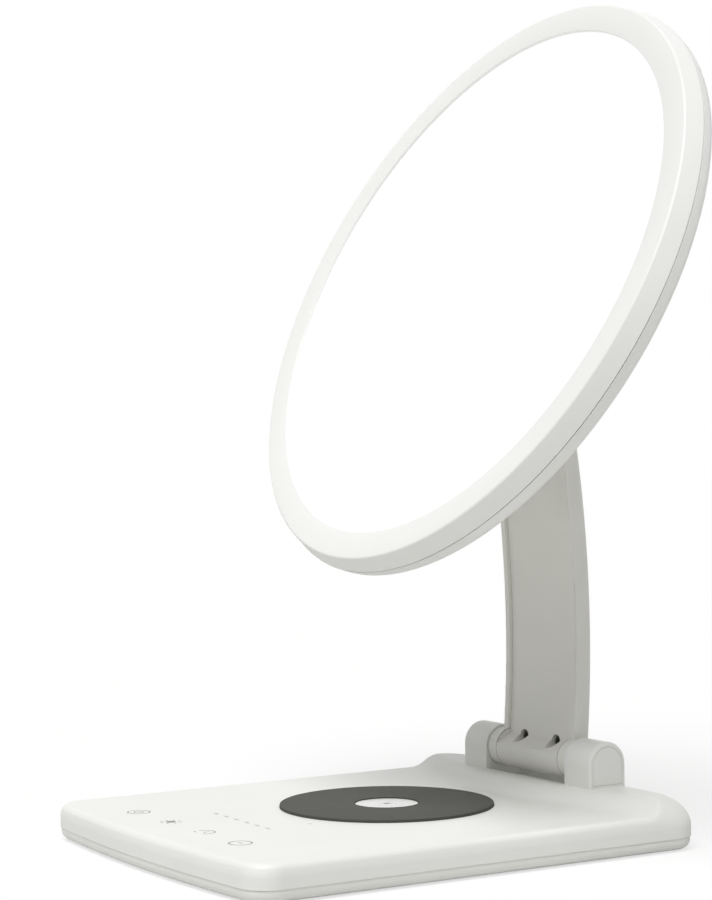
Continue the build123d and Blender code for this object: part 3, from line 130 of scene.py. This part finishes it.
# To the eye two thirds of its white are a glow of its own, so that its far parts match the room.
paper_glow_share = 0.68
paper_lit = add_node(
    paper.node_tree, "ShaderNodeMixShader", {1: paper_white.outputs[0], 2: paper_glow.outputs[0]}
)
paper_lit.inputs[0].default_value = paper_glow_share
paper_mix = add_node(
    paper.node_tree,
    "ShaderNodeMixShader",
    {0: paper_path.outputs["Is Camera Ray"], 1: paper_sheet.outputs[0], 2: paper_lit.outputs[0]},
)
add_node(paper.node_tree, "ShaderNodeOutputMaterial", {"Surface": paper_mix.outputs[0]})
floor.data.materials.append(paper)


# ---------------------------------------------------------------- base shell
# Top cover and tray of injection-moulded ABS, with caps in the ends of the hinge ears. The mould is
# spark-eroded, which leaves a fine even grain.
def finish_of(name, colour, roughness, grain, depth, second=None, patch=30.0, wear=0.03, **more):
    """Principled material with a bump grain of a size and depth in millimetres, and with wide patches
    that change the gloss by wear and the tone towards a second colour."""
    material = bpy.data.materials.new(name)
    material.use_nodes = True
    tree = material.node_tree
    shader = tree.nodes["Principled BSDF"]
    for socket, value in {"Base Color": linear(colour), **more}.items():
        shader.inputs[socket].default_value = value
    spot = add_node(tree, "ShaderNodeTexCoord").outputs["Object"]
    patches = add_node(tree, "ShaderNodeTexNoise", {"Vector": spot}, Scale=1000 / patch, Detail=3.0)
    # Noise of this detail mostly stays within 0.3 to 0.7, so that range spans the whole change.
    change = {"From Min": 0.3, "From Max": 0.7, "To Min": roughness - wear, "To Max": roughness + wear}
    gloss = add_node(tree, "ShaderNodeMapRange", {"Value": patches.outputs["Fac"]}, **change)
    tree.links.new(gloss.outputs["Result"], shader.inputs["Roughness"])
    if second:
        tones = add_node(tree, "ShaderNodeValToRGB", {"Fac": patches.outputs["Fac"]})
        for stop, position, tone in zip(tones.color_ramp.elements, (0.32, 0.68), (second, colour)):
            stop.position = position
            stop.color = linear(tone)
        tree.links.new(tones.outputs["Color"], shader.inputs["Base Color"])
    grains = add_node(tree, "ShaderNodeTexNoise", {"Vector": spot}, Scale=1000 / grain, Detail=2.0)
    relief = {"Strength": 1.0, "Distance": depth / 1000}
    bump = add_node(tree, "ShaderNodeBump", {"Height": grains.outputs["Fac"]}, **relief)
    tree.links.new(bump.outputs["Normal"], shader.inputs["Normal"])
    return material


def dress(material, *names):
    """Gives CAD nodes a material."""
    for name in names:
        for slot in nodes[name].material_slots:
            slot.material = material


# A soft satin white without sharp reflections. The real grain is about 0.1 mm wide, too fine to
# show, so it is drawn at 0.4 mm.
white_abs = finish_of(
    "satin white moulded ABS", "#EFEFEC", second="#ECECE9",
    roughness=0.40, grain=0.4, depth=0.010, patch=60.0,
)
dress(white_abs, "base_top_cover", "base_bottom_tray", "base_ear_cap_left", "base_ear_cap_right")


# ---------------------------------------------------------------- base seam
# The tray's rim stands up inside the cover as a thin lip, moulded with the tray in white ABS. It is
# the pale bottom of the fine parting seam that runs round the base.
def mesh_of(name, shape):
    """Mesh of a finished shape, with its faces outward."""
    bmesh.ops.recalc_face_normals(shape, faces=shape.faces)
    mesh = bpy.data.meshes.new(name)
    shape.to_mesh(mesh)
    shape.free()
    return mesh


def new_piece(name, mesh, material):
    """New object that holds a mesh in one material."""
    piece = bpy.data.objects.new(name, mesh)
    bpy.context.collection.objects.link(piece)
    mesh.materials.append(material)
    return piece


def seam_lip(name, shell, bottom, top, setback, width):
    """Mesh of a lip in the seam under a shell, set back behind the shell's lower edge, in metres."""
    weld, clearance = 1e-6, 0.0003
    shape = bmesh.new()
    shape.from_mesh(nodes[shell].data)
    bmesh.ops.remove_doubles(shape, verts=shape.verts, dist=weld)
    just_above = (0, 0, top + clearance)
    whole = shape.verts[:] + shape.edges[:] + shape.faces[:]
    bmesh.ops.bisect_plane(
        shape, geom=whole, plane_co=just_above, plane_no=(0, 0, 1), clear_inner=True, clear_outer=True
    )
    bmesh.ops.remove_doubles(shape, verts=shape.verts, dist=weld)
    corner = max(shape.verts, key=lambda vert: abs(vert.co.x) + abs(vert.co.y))
    outline, step = [corner], corner.link_edges[0].other_vert(corner)
    while step != corner:
        outline.append(step)
        step = next(v for v in (e.other_vert(step) for e in step.link_edges) if v != outline[-2])
    points = [vert.co.copy() for vert in outline]
    shape.clear()
    half_width, half_length = [max(abs(point[axis]) for point in points) for axis in (0, 1)]
    section = [(setback, bottom), (setback, top), (setback + width, top), (setback + width, bottom)]
    rings = []
    for inset, height in section:
        across, along = 1 - inset / half_width, 1 - inset / half_length
        rings.append([shape.verts.new((point.x * across, point.y * along, height)) for point in points])
    for j in range(len(section)):
        for i in range(len(points)):
            shape.faces.new((rings[j - 1][i - 1], rings[j][i - 1], rings[j][i], rings[j - 1][i]))
    return mesh_of(name, shape)


lip_mesh = seam_lip(
    "base_seam_lip", "base_top_cover", bottom=0.00548, top=0.00577, setback=0.00045, width=0.0008
)
base_lip = new_piece("base_seam_lip", lip_mesh, white_abs)
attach(base_lip, "base")

# ---------------------------------------------------------------- mat
# One sheet of grey rubber, die-cut with holes for the screws and stuck under the tray. Its fine
# pebbles keep the base from sliding.

# Dull grey without a highlight, with low pebbles a millimetre wide.
pebbled_rubber = finish_of(
    "pebbled grey rubber", "#6C6C68", second="#646460",
    roughness=0.86, grain=1.2, depth=0.15, patch=25.0,
)
dress(pebbled_rubber, "anti_slip_mat")


# ---------------------------------------------------------------- screws
# Self-tapping steel screws with low domed heads and cross recesses, all bright zinc plated but for
# the blackened ones in the arm: four under the base, six behind the panel and four at the arm's ends.
def screw_shape(name, head_radius, head_height, shank_radius, shank_length):
    """Mesh of one cross-recess screw. The crown of its head is at the origin and it runs down along -Z."""
    sides = 32
    dome = [(0.72, 0.0), (0.93, 0.18), (1.0, 0.5), (1.0, 1.0)]
    profile = [(share * head_radius, drop * head_height) for share, drop in dome]
    profile += [(shank_radius, head_height), (shank_radius, head_height + shank_length)]
    turns = [Matrix.Rotation(math.tau * i / sides, 3, "Z") for i in range(sides)]
    shape = bmesh.new()
    rings = [
        [shape.verts.new(turn @ Vector((radius, 0, -drop))) for turn in turns] for radius, drop in profile
    ]
    for upper, lower in zip(rings, rings[1:]):
        for i in range(sides):
            shape.faces.new((upper[i - 1], lower[i - 1], lower[i], upper[i]))
    shape.faces.new(rings[-1])
    slot_reach, slot_half = 0.5 * head_radius, 0.13 * head_radius
    pit_share, pit_depth = 0.6, 0.62 * head_height
    corner = [(slot_reach, -slot_half), (slot_reach, slot_half), (slot_half, slot_half)]
    cross = [Matrix.Rotation(math.tau * q / 4, 2) @ Vector(point) for q in range(4) for point in corner]
    mouth = [shape.verts.new((x, y, 0)) for x, y in cross]
    pit = [shape.verts.new((pit_share * x, pit_share * y, -pit_depth)) for x, y in cross]
    for i in range(len(cross)):
        shape.faces.new((mouth[i - 1], pit[i - 1], pit[i], mouth[i]))
    shape.faces.new(pit)
    rims = (rings[0], mouth)
    edges = [shape.edges.get((rim[i - 1], rim[i])) for rim in rims for i in range(len(rim))]
    bmesh.ops.triangle_fill(shape, use_beauty=True, edges=edges)
    return mesh_of(name, shape)


def set_out_tree():
    """Geometry Nodes tree that repeats a small piece at equal steps round a circle, each turned by Spin
    from the one before, and sets its material."""
    tree = bpy.data.node_groups.new("pieces round a circle", "GeometryNodeTree")
    for name, kind in (
        ("Geometry", "NodeSocketGeometry"),
        ("Count", "NodeSocketInt"),
        ("Circle Radius", "NodeSocketFloat"),
        ("First Turn", "NodeSocketFloat"),
        ("Width Share", "NodeSocketFloat"),
        ("Spin", "NodeSocketFloat"),
        ("Finish", "NodeSocketMaterial"),
    ):
        tree.interface.new_socket(name, in_out="INPUT", socket_type=kind)
    tree.interface.new_socket("Geometry", in_out="OUTPUT", socket_type="NodeSocketGeometry")
    given = add_node(tree, "NodeGroupInput").outputs
    circle = add_node(
        tree, "GeometryNodeMeshCircle", {"Vertices": given["Count"], "Radius": given["Circle Radius"]}
    )
    turn = add_node(tree, "ShaderNodeCombineXYZ", {"Z": given["First Turn"]})
    share = add_node(tree, "ShaderNodeCombineXYZ", {"X": given["Width Share"]}, Y=1.0, Z=1.0)
    turned = add_node(
        tree,
        "GeometryNodeTransform",
        {"Geometry": circle.outputs["Mesh"], "Rotation": turn.outputs["Vector"]},
    )
    shared = add_node(
        tree,
        "GeometryNodeTransform",
        {"Geometry": turned.outputs["Geometry"], "Scale": share.outputs["Vector"]},
    )
    index = add_node(tree, "GeometryNodeInputIndex")
    spin = add_node(
        tree, "ShaderNodeMath", {0: index.outputs["Index"], 1: given["Spin"]}, operation="MULTIPLY"
    )
    spun = add_node(tree, "ShaderNodeCombineXYZ", {"Z": spin.outputs[0]})
    placed = add_node(
        tree,
        "GeometryNodeInstanceOnPoints",
        {
            "Points": shared.outputs["Geometry"],
            "Instance": given["Geometry"],
            "Rotation": spun.outputs["Vector"],
        },
    )
    real = add_node(tree, "GeometryNodeRealizeInstances", {"Geometry": placed.outputs["Instances"]})
    finished = add_node(
        tree, "GeometryNodeSetMaterial", {"Geometry": real.outputs["Geometry"], "Material": given["Finish"]}
    )
    add_node(tree, "NodeGroupOutput", {"Geometry": finished.outputs["Geometry"]})
    return tree


def made_by(tree, name, mesh, **values):
    """New object with the mesh that a tree makes of a given one, and the tree's inputs set by name."""
    piece = bpy.data.objects.new(name, mesh)
    bpy.context.collection.objects.link(piece)
    modifier = piece.modifiers.new(name, "NODES")
    modifier.node_group = tree
    sockets = {item.name: item.identifier for item in tree.interface.items_tree if item.in_out == "INPUT"}
    for key, value in values.items():
        modifier[sockets[key.replace("_", " ")]] = value
    bpy.context.view_layer.update()
    made = bpy.data.meshes.new_from_object(piece.evaluated_get(bpy.context.evaluated_depsgraph_get()))
    piece.modifiers.remove(modifier)
    piece.data = made
    return piece


def set_at(piece, *places):
    """Moves a piece's mesh to each of the places, so that the object itself stays at the origin."""
    shape = bmesh.new()
    for place in places:
        copy = piece.data.copy()
        copy.transform(place)
        shape.from_mesh(copy)
    shape.to_mesh(piece.data)
    shape.free()


circle_tree = set_out_tree()
# Bright, slightly blue metal with faint cloudy patches where the plating is thicker.
bright_zinc = finish_of(
    "bright zinc plate", "#B9BCC0", second="#A9ADB2",
    roughness=0.30, grain=0.5, depth=0.006, patch=4.0, wear=0.06, Metallic=1.0,
)
# Nearly black metal that still catches a soft highlight at its edges.
black_zinc = finish_of(
    "blackened zinc plate", "#3E3E3C", second="#32322F",
    roughness=0.42, grain=0.5, depth=0.006, patch=3.0, wear=0.06, Metallic=0.9,
)

# The base's screws are at the corners of a rectangle, their crowns 0.8 mm above the table.
base_screw_x, base_screw_y = 0.0755, 0.0888
base_screw_crown = 0.0008
screw_spin = 2.4  # radians from one screw's recess to the next, as no two are driven alike
base_screw = screw_shape(
    "base_screw", head_radius=0.0029, head_height=0.0018, shank_radius=0.0015, shank_length=0.0084
)
base_screws = made_by(
    circle_tree,
    "base_screw_set",
    base_screw,
    Count=4,
    Circle_Radius=base_screw_y * math.sqrt(2),
    First_Turn=math.pi / 4,
    Width_Share=base_screw_x / base_screw_y,
    Spin=screw_spin,
    Finish=bright_zinc,
)
set_at(base_screws, Matrix.Translation((0, 0, base_screw_crown)) @ Matrix.Rotation(math.pi, 4, "X"))
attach(base_screws, "base")
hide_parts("base_screws")

# The middle of the panel's front face, and how far the panel leans back.
panel_centre = (0, 0.048092, 0.2389589)
panel_lean = math.radians(-26.6)
panel_place = Matrix.Translation(panel_centre) @ Euler((panel_lean, 0, 0)).to_matrix().to_4x4()
# The panel's screws stand on one circle, their crowns 15.2 mm behind its front.
panel_screw_crown = 0.0152
panel_screw = screw_shape(
    "panel_screw", head_radius=0.0026, head_height=0.0013, shank_radius=0.0012, shank_length=0.0053
)
panel_screws = made_by(
    circle_tree,
    "panel_screw_set",
    panel_screw,
    Count=6,
    Circle_Radius=0.105,
    First_Turn=math.pi / 6,
    Width_Share=1.0,
    Spin=screw_spin,
    Finish=bright_zinc,
)
panel_back = Matrix.Translation((0, panel_screw_crown, 0)) @ Matrix.Rotation(-math.pi / 2, 4, "X")
set_at(panel_screws, panel_place @ panel_back)
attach(panel_screws, "head")
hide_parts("panel_screws")

# Two screws at each end of the arm, at either side of the middle: where their crowns are along Y
# and Z, and how far they are turned about X, in degrees.
arm_screw_x = 0.0118
arm_screw_ends = (((0.0888215, 0.036992), 84.543), ((0.0731643, 0.2212498), 105.171))
arm_screw = screw_shape(
    "arm_screw", head_radius=0.0028, head_height=0.0016, shank_radius=0.0012, shank_length=0.0060
)
arm_screws = new_piece("arm_screw_set", arm_screw, black_zinc)
set_at(
    arm_screws,
    *[
        Matrix.Translation((x, y, z)) @ Matrix.Rotation(math.radians(turn), 4, "X")
        for (y, z), turn in arm_screw_ends
        for x in (-arm_screw_x, arm_screw_x)
    ],
)
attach(arm_screws, "arm")
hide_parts("arm_clamp_screws")

# ---------------------------------------------------------------- charging pad
# Ring of moulded silicone that grips a phone, round a smooth white disc. Both are glued to the
# deck over the charging coil.

# Deep warm grey with hardly a highlight, a little uneven where hands have touched it.
silicone = finish_of(
    "matt dark silicone", "#494944", second="#43433E",
    roughness=0.72, grain=0.3, depth=0.02, patch=18.0, wear=0.05, **{"Specular IOR Level": 0.3},
)
dress(silicone, "charging_pad_ring")
# From a polished mould, so its highlight is clearer than the deck's.
smooth_abs = finish_of(
    "smooth white ABS", "#E4E4E2", second="#E1E1DF",
    roughness=0.28, grain=0.8, depth=0.002, patch=15.0,
)
dress(smooth_abs, "charging_pad_centre")

# ---------------------------------------------------------------- charging coil
# Flat spiral of enamelled copper wire, whose turns lie about a millimetre apart, on a sheet of
# pressed and sintered ferrite.
pad_centre_y = 0.008
coil_pitch = 0.0011
# Warm red-brown under clear lacquer, with fine bright turns. Its height follows the distance from
# the pad's middle, so that every turn is one round ridge.
coil_wire = finish_of(
    "enamelled copper wire", "#B4703C", second="#A8642F",
    roughness=0.34, grain=0.5, depth=0.004, patch=6.0, Metallic=0.9,
)
coil_tree = coil_wire.node_tree
coil_spot = add_node(coil_tree, "ShaderNodeTexCoord").outputs["Object"]
coil_middle = add_node(
    coil_tree, "ShaderNodeMapping", {"Vector": coil_spot}, Location=(0, -pad_centre_y, 0), Scale=(1, 1, 0)
)
coil_radius = add_node(
    coil_tree, "ShaderNodeVectorMath", {0: coil_middle.outputs["Vector"]}, operation="LENGTH"
)
coil_turns = add_node(coil_tree, "ShaderNodeMath", {0: coil_radius.outputs["Value"]}, operation="MULTIPLY")
coil_turns.inputs[1].default_value = math.tau / coil_pitch
coil_wave = add_node(coil_tree, "ShaderNodeMath", {0: coil_turns.outputs[0]}, operation="SINE")
coil_bump = add_node(
    coil_tree, "ShaderNodeBump", {"Height": coil_wave.outputs[0]}, Strength=1.0, Distance=0.0003
)
coil_tree.links.new(coil_bump.outputs["Normal"], coil_tree.nodes["Principled BSDF"].inputs["Normal"])
dress(coil_wire, "charging_coil")
# Dull blue-black, like unglazed ceramic.
ferrite = finish_of(
    "dark sintered ferrite", "#3A3A3C", second="#323234",
    roughness=0.55, grain=0.3, depth=0.01, patch=3.0,
)
dress(ferrite, "ferrite_sheet")

# ---------------------------------------------------------------- circuit boards
# Fibreglass boards under green solder mask, held by screws, with springs of conductive foam under
# the touch keys and small light-emitting diodes.

# Glossy dark green that shows the glass weave as faint ripples.
solder_mask = finish_of(
    "green solder mask", "#1F5B36", second="#1B5231",
    roughness=0.34, grain=0.6, depth=0.01, patch=1.4, wear=0.05,
)
dress(solder_mask, "touch_board", "control_board", "led_driver_board")
# Black and open-pored, without any shine.
key_foam = finish_of(
    "black conductive foam", "#232322", second="#2B2B29",
    roughness=0.95, grain=0.8, depth=0.25, patch=3.0,
)
dress(key_foam, "key_contacts")
# Creamy white moulding, yellower where the phosphor is.
diode_white = finish_of(
    "white diode package", "#EEE9CF", second="#E8DFA8",
    roughness=0.35, grain=0.4, depth=0.004, patch=1.2,
)
dress(diode_white, "indicator_leds", "led_chips")

# ---------------------------------------------------------------- printed marks
# Thin grey ink, pad printed on the deck over the four touch keys (power, light, timer and clock),
# and a small lightning mark on the charging disc. Sizes are in millimetres.
ink_above = 0.025
ink_below = 0.02


def ink_stroke(shape, centre, points, width, deck, closed=False):
    """Adds a bar of ink along a line of points about a centre, on a surface at the deck's height."""
    count = len(points)
    rows = []
    for i, (x, y) in enumerate(points):
        before = points[i - 1] if closed or i else points[i]
        after = points[(i + 1) % count] if closed or i + 1 < count else points[i]
        along = Vector((after[0] - before[0], after[1] - before[1])).normalized()
        across = Vector((-along.y, along.x)) * width / 2
        row = []
        for side, height in ((1, ink_above), (-1, ink_above), (-1, -ink_below), (1, -ink_below)):
            spot = (centre[0] + x + side * across.x, centre[1] + y + side * across.y, deck + height)
            row.append(shape.verts.new([value / 1000 for value in spot]))
        rows.append(row)
    for i in range(count if closed else count - 1):
        row, following = rows[i], rows[(i + 1) % count]
        for j in range(len(row)):
            shape.faces.new((row[j - 1], row[j], following[j], following[j - 1]))
    if not closed:
        shape.faces.new(rows[0])
        shape.faces.new(rows[-1])


def ink_arc(radius, start, end, steps=40):
    """Points of an arc about the origin, from one angle in degrees to another."""
    angles = [math.radians(start + (end - start) * i / steps) for i in range(steps + 1)]
    return [(radius * math.cos(angle), radius * math.sin(angle)) for angle in angles]


def ink_circle(radius, steps=64):
    """Points of a whole circle about the origin."""
    return ink_arc(radius, 0, 360, steps)[:-1]


def ink_shape(shape, centre, outline, deck):
    """Adds a flat patch of ink with an outline about a centre, on a surface at the deck's height."""
    top, low = [
        [shape.verts.new([v / 1000 for v in (centre[0] + x, centre[1] + y, height)]) for x, y in outline]
        for height in (deck + ink_above, deck - ink_below)
    ]
    shape.faces.new(top)
    shape.faces.new(low)
    for i in range(len(outline)):
        shape.faces.new((top[i - 1], top[i], low[i], low[i - 1]))


def printed(name, shape, ink):
    """Turns a shape into a printed piece that rides on the base."""
    piece = new_piece(name, mesh_of(name, shape), ink)
    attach(piece, "base")


deck_z = 15.4
key_y = -85.7
key_pitch = 29.7
power_key, light_key, timer_key, clock_key = [(step * key_pitch, key_y) for step in (-1.5, -0.5, 0.5, 1.5)]
rim_line, broad_line, middle_line, fine_line = 0.65, 0.6, 0.55, 0.5
# Flat mid grey, worn a little thin in places.
grey_ink = finish_of(
    "grey pad-printing ink", "#85857F", second="#8C8C86",
    roughness=0.5, grain=0.3, depth=0.002, patch=2.0,
)
marks = bmesh.new()
# Power: a ring round the usual broken circle with its bar.
ink_stroke(marks, power_key, ink_circle(4.6), broad_line, deck_z, closed=True)
ink_stroke(marks, power_key, ink_arc(2.0, 125, 415), middle_line, deck_z)
ink_stroke(marks, power_key, [(0, 0.5), (0, 2.7)], middle_line, deck_z)
# Light: the disc of a sun, whose rays are set round it below.
ink_shape(marks, light_key, ink_circle(2.1, steps=40), deck_z)
# Timer: an open dial with two hands, and a dot beside it.
ink_stroke(marks, timer_key, ink_arc(4.1, -40, 185), broad_line, deck_z)
ink_stroke(marks, timer_key, [(0, 2.2), (0, 0), (1.5, -0.9)], fine_line, deck_z)
ink_shape(marks, (timer_key[0] - 3.0, timer_key[1] - 2.8), ink_circle(0.6, steps=20), deck_z)
# Clock: a closed dial with one level hand.
ink_stroke(marks, clock_key, ink_circle(4.5), rim_line, deck_z, closed=True)
ink_stroke(marks, clock_key, [(-1.6, 0), (1.6, 0)], fine_line, deck_z)
printed("touch_key_marks", marks, grey_ink)

ray = bmesh.new()
ink_stroke(ray, (0, 0), [(-0.75, 0), (0.75, 0)], middle_line, deck_z)
ray_count = 8
light_rays = made_by(
    circle_tree,
    "light_key_rays",
    mesh_of("light_ray", ray),
    Count=ray_count,
    Circle_Radius=0.0039,
    First_Turn=0.0,
    Width_Share=1.0,
    Spin=math.tau / ray_count,
    Finish=grey_ink,
)
set_at(light_rays, Matrix.Translation([value / 1000 for value in (*light_key, 0)]))
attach(light_rays, "base")

disc_z = 16.1
bolt_outline = [(0.7, 2.5), (-1.7, -0.4), (-0.1, -0.4), (-0.7, -2.5), (1.7, 0.4), (0.1, 0.4)]
bolt = bmesh.new()
ink_shape(bolt, (0, 1000 * pad_centre_y), bolt_outline, disc_z)
# Nearly black, with a faint softness like the ink of the keys.
dark_ink = finish_of(
    "dark pad-printing ink", "#4A4A46", second="#51514C",
    roughness=0.5, grain=0.3, depth=0.002, patch=2.0,
)
printed("charging_mark", bolt, dark_ink)

# ---------------------------------------------------------------- indicators
# Bars and a pin of clear polycarbonate with frosted ends, pressed into the cover from inside, that
# carry light up from the board.

# Cloudy light grey while they are off, a shade darker than the deck.
frosted = finish_of(
    "frosted light guide", "#B4B4AE", second="#ACACA6",
    roughness=0.30, grain=0.5, depth=0.004, patch=4.0,
)
dress(frosted, "level_light_guide", "charge_light_guide")

# ---------------------------------------------------------------- power inlet
# Round low-voltage socket moulded in nylon. It sits behind the rear wall, and its nose fills the
# hole there.

# Near black with small clear highlights.
black_nylon = finish_of(
    "glossy black nylon", "#1C1C1C", second="#222222",
    roughness=0.25, grain=0.8, depth=0.003, patch=5.0,
)
dress(black_nylon, "power_inlet")

# ---------------------------------------------------------------- ballast and brackets
# Pressed sheet steel, zinc plated: the weight in the base, the brackets under both hinges and the
# spine in the arm, all held by small zinc-plated screws.

# Clean grey metal, in which the zinc's crystals make faint patches.
sheet_zinc = finish_of(
    "zinc-plated sheet steel", "#AEB2B6", second="#A2A6AA",
    roughness=0.38, grain=0.8, depth=0.006, patch=5.0, wear=0.08, Metallic=1.0,
)
dress(sheet_zinc, "ballast_plate", "base_ear_brackets", "arm_spine", "panel_hinge_plate")
dress(bright_zinc, "base_ear_screws", "panel_ear_screws", "board_screws")

# ---------------------------------------------------------------- hinges
# Ground steel pins and drawn bushes with zinc-plated nuts, and washers of friction fibre that hold
# the arm and the panel where they are set.

# Almost a mirror, with the faint haze of a fine grinding wheel.
ground_steel = finish_of(
    "ground steel", "#C4C6C8", second="#BCBEC0",
    roughness=0.22, grain=0.25, depth=0.004, patch=2.0, wear=0.04, Metallic=1.0,
)
dress(ground_steel, "lower_hinge_pin", "upper_hinge_pin")
# Greyer and softer in its shine than the pins.
drawn_steel = finish_of(
    "drawn steel tube", "#A9ABAD", second="#A0A2A4",
    roughness=0.35, grain=0.4, depth=0.004, patch=4.0, wear=0.05, Metallic=1.0,
)
dress(drawn_steel, "lower_hinge_bush", "upper_hinge_bush")
dress(bright_zinc, "lower_hinge_nut", "upper_hinge_nut")
# Dull dark brown-grey with a felted surface.
friction_fibre = finish_of(
    "dark friction fibre", "#55554F", second="#4A4A45",
    roughness=0.75, grain=0.4, depth=0.05, patch=2.0,
)
dress(friction_fibre, "lower_friction_washers", "upper_friction_washers")


# ---------------------------------------------------------------- arm
# Bowed front cover and rear shell, moulded in ABS and clamped together by the end screws round a
# steel spine and a sheathed lead. The shadow of the fine gap round each barrel at the cover's edges
# is painted on as thin grey rings.
def turned_ring(name, profile, steps=256):
    """Mesh of a ring turned about Y from a closed profile of (radius, depth) points in millimetres."""
    shape = bmesh.new()
    loops = []
    for i in range(steps):
        turn = Matrix.Rotation(math.tau * i / steps, 3, "Y")
        spots = [turn @ Vector((radius / 1000, depth / 1000, 0)) for radius, depth in profile]
        loops.append([shape.verts.new(spot) for spot in spots])
    for i in range(steps):
        for j in range(len(profile)):
            shape.faces.new((loops[i - 1][j - 1], loops[i - 1][j], loops[i][j], loops[i][j - 1]))
    mesh = mesh_of(name, shape)
    mesh.set_sharp_from_angle(angle=math.radians(25))
    mesh.shade_smooth()
    return mesh


# A shade greyer and less glossy than the base, with the same moulded grain drawn at the same size.
arm_abs = finish_of(
    "soft satin white ABS", "#EAEAE4", second="#E6E6E0",
    roughness=0.46, grain=0.4, depth=0.012, patch=50.0,
)
dress(arm_abs, "arm_front_cover", "arm_rear_shell")
# Off-white with the soft gloss of extruded plastic.
white_sheath = finish_of(
    "white PVC sheath", "#E4E4E0", second="#DCDCD8",
    roughness=0.3, grain=1.0, depth=0.01, patch=8.0,
)
dress(white_sheath, "arm_lead")
# Painted shade: a fine mid-grey line for the shadow at the bottom of a narrow gap in white plastic.
painted_gap_shade = finish_of(
    "painted shade of a gap in white ABS", "#8E8E86", second="#86867E",
    roughness=0.7, grain=0.4, depth=0.01, patch=4.0,
)
# One thin ring of painted shade for each edge of the cover, on the lower and on the upper hinge line.
gap_inner, gap_outer, gap_half = 8.4, 8.62, 0.11
gap_profile = [(gap_inner, -gap_half), (gap_outer, -gap_half), (gap_outer, gap_half), (gap_inner, gap_half)]
gap_ring = turned_ring("barrel_shadow_gap", gap_profile, steps=96)
barrel_gaps = new_piece("barrel_shadow_gaps", gap_ring, painted_gap_shade)
hinge_lines = ((0.08845, 0.031), (0.0717871, 0.2270933))
cover_edge_x = 0.0228
set_at(
    barrel_gaps,
    *[
        Matrix.Translation((x, y, z)) @ Matrix.Rotation(-math.pi / 2, 4, "Z")
        for y, z in hinge_lines
        for x in (-cover_edge_x, cover_edge_x)
    ],
)
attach(barrel_gaps, "arm")

# ---------------------------------------------------------------- panel shell
# Rear shell of the round panel and the caps of its hinge ears, moulded like the base's parts and
# closed with six screws.

# The same satin as the base, painted a brighter white that stands in for the stronger light on the panel.
brightened_panel_abs = finish_of(
    "satin white ABS with painted light", "#F5F5F3", second="#F3F3F1",
    roughness=0.40, grain=0.4, depth=0.010, patch=60.0,
)
dress(brightened_panel_abs, "panel_rear_shell", "panel_ear_cap_left", "panel_ear_cap_right")


# ---------------------------------------------------------------- bezel
# Front ring of the panel, moulded in one piece. Its flat face meets the drafted side in a crisp
# edge, and it closes on the rear shell with a fine parting line.
def rounded(start, corner, end, radius, steps=6):
    """Points of an arc of a radius that rounds the corner between two straight runs."""
    corner = Vector(corner)
    before = (Vector(start) - corner).normalized()
    after = (Vector(end) - corner).normalized()
    half = before.angle(after) / 2
    reach = radius / math.tan(half)
    centre = corner + (before + after).normalized() * radius / math.sin(half)
    first = corner + before * reach - centre
    turn = math.copysign(math.pi - 2 * half, first.cross(corner + after * reach - centre))
    return [tuple(centre + Matrix.Rotation(turn * i / steps, 2) @ first) for i in range(steps + 1)]


# Corners of the ring's section, as (radius, depth behind the front) in millimetres, and their radii.
bezel_lip, bezel_crease, bezel_side = (120.9, 0.7), (133.2, 0.1), (135.8, 8.25)
lip_radius, crease_radius, side_radius = 0.3, 1.1, 0.2
bezel_seat = [(133.4, 8.275), (133.4, 3.95), (125.9, 3.95), (125.9, 1.95), (120.9, 1.95)]
bezel_profile = (
    rounded(bezel_seat[-1], bezel_lip, bezel_crease, lip_radius, steps=3)
    + rounded(bezel_lip, bezel_crease, bezel_side, crease_radius)
    + rounded(bezel_crease, bezel_side, bezel_seat[0], side_radius, steps=2)
    + bezel_seat
)
bezel = new_piece("panel_front_ring", turned_ring("panel_front_ring", bezel_profile), brightened_panel_abs)
set_at(bezel, panel_place)
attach(bezel, "head")
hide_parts("panel_bezel")

# ---------------------------------------------------------------- lit panel
# Opal acrylic sheet over a clear acrylic guide that is lit at its rim, with a white film behind it.
# A pressed aluminium frame holds them and carries a strip of diodes.

# An even white glow, close to the white of the room, under a soft gloss.
opal = finish_of("lit opal acrylic", "#808080", roughness=0.34, grain=0.6, depth=0.002)
opal_shader = opal.node_tree.nodes["Principled BSDF"]
opal_shader.inputs["Emission Color"].default_value = pure_white
opal_shader.inputs["Emission Strength"].default_value = 0.78
dress(opal, "diffuser")
# Clear, with sharp highlights and a bright rim.
acrylic = finish_of(
    "clear acrylic", "#F2F7F8",
    roughness=0.06, grain=2.0, depth=0.001, **{"Transmission Weight": 1.0, "IOR": 1.49},
)
dress(acrylic, "light_guide")
# Clean white with a dull sheen, like coated paper.
white_film = finish_of(
    "white reflector film", "#F4F4F2", second="#F0F0EE",
    roughness=0.45, grain=0.5, depth=0.002, patch=20.0,
)
dress(white_film, "reflector_sheet")
# Pale grey metal with soft cloudy patches from the rolling mill.
mill_aluminium = finish_of(
    "mill-finish aluminium", "#B7BABD", second="#AEB1B4",
    roughness=0.36, grain=0.4, depth=0.006, patch=9.0, wear=0.05, Metallic=1.0,
)
dress(mill_aluminium, "heat_frame")
# White lacquer with a slight gloss, a little uneven over the copper under it.
flexible_circuit = finish_of(
    "white flexible circuit", "#EDEDEA", second="#E6E6E2",
    roughness=0.4, grain=0.6, depth=0.004, patch=6.0,
)
dress(flexible_circuit, "led_strip")
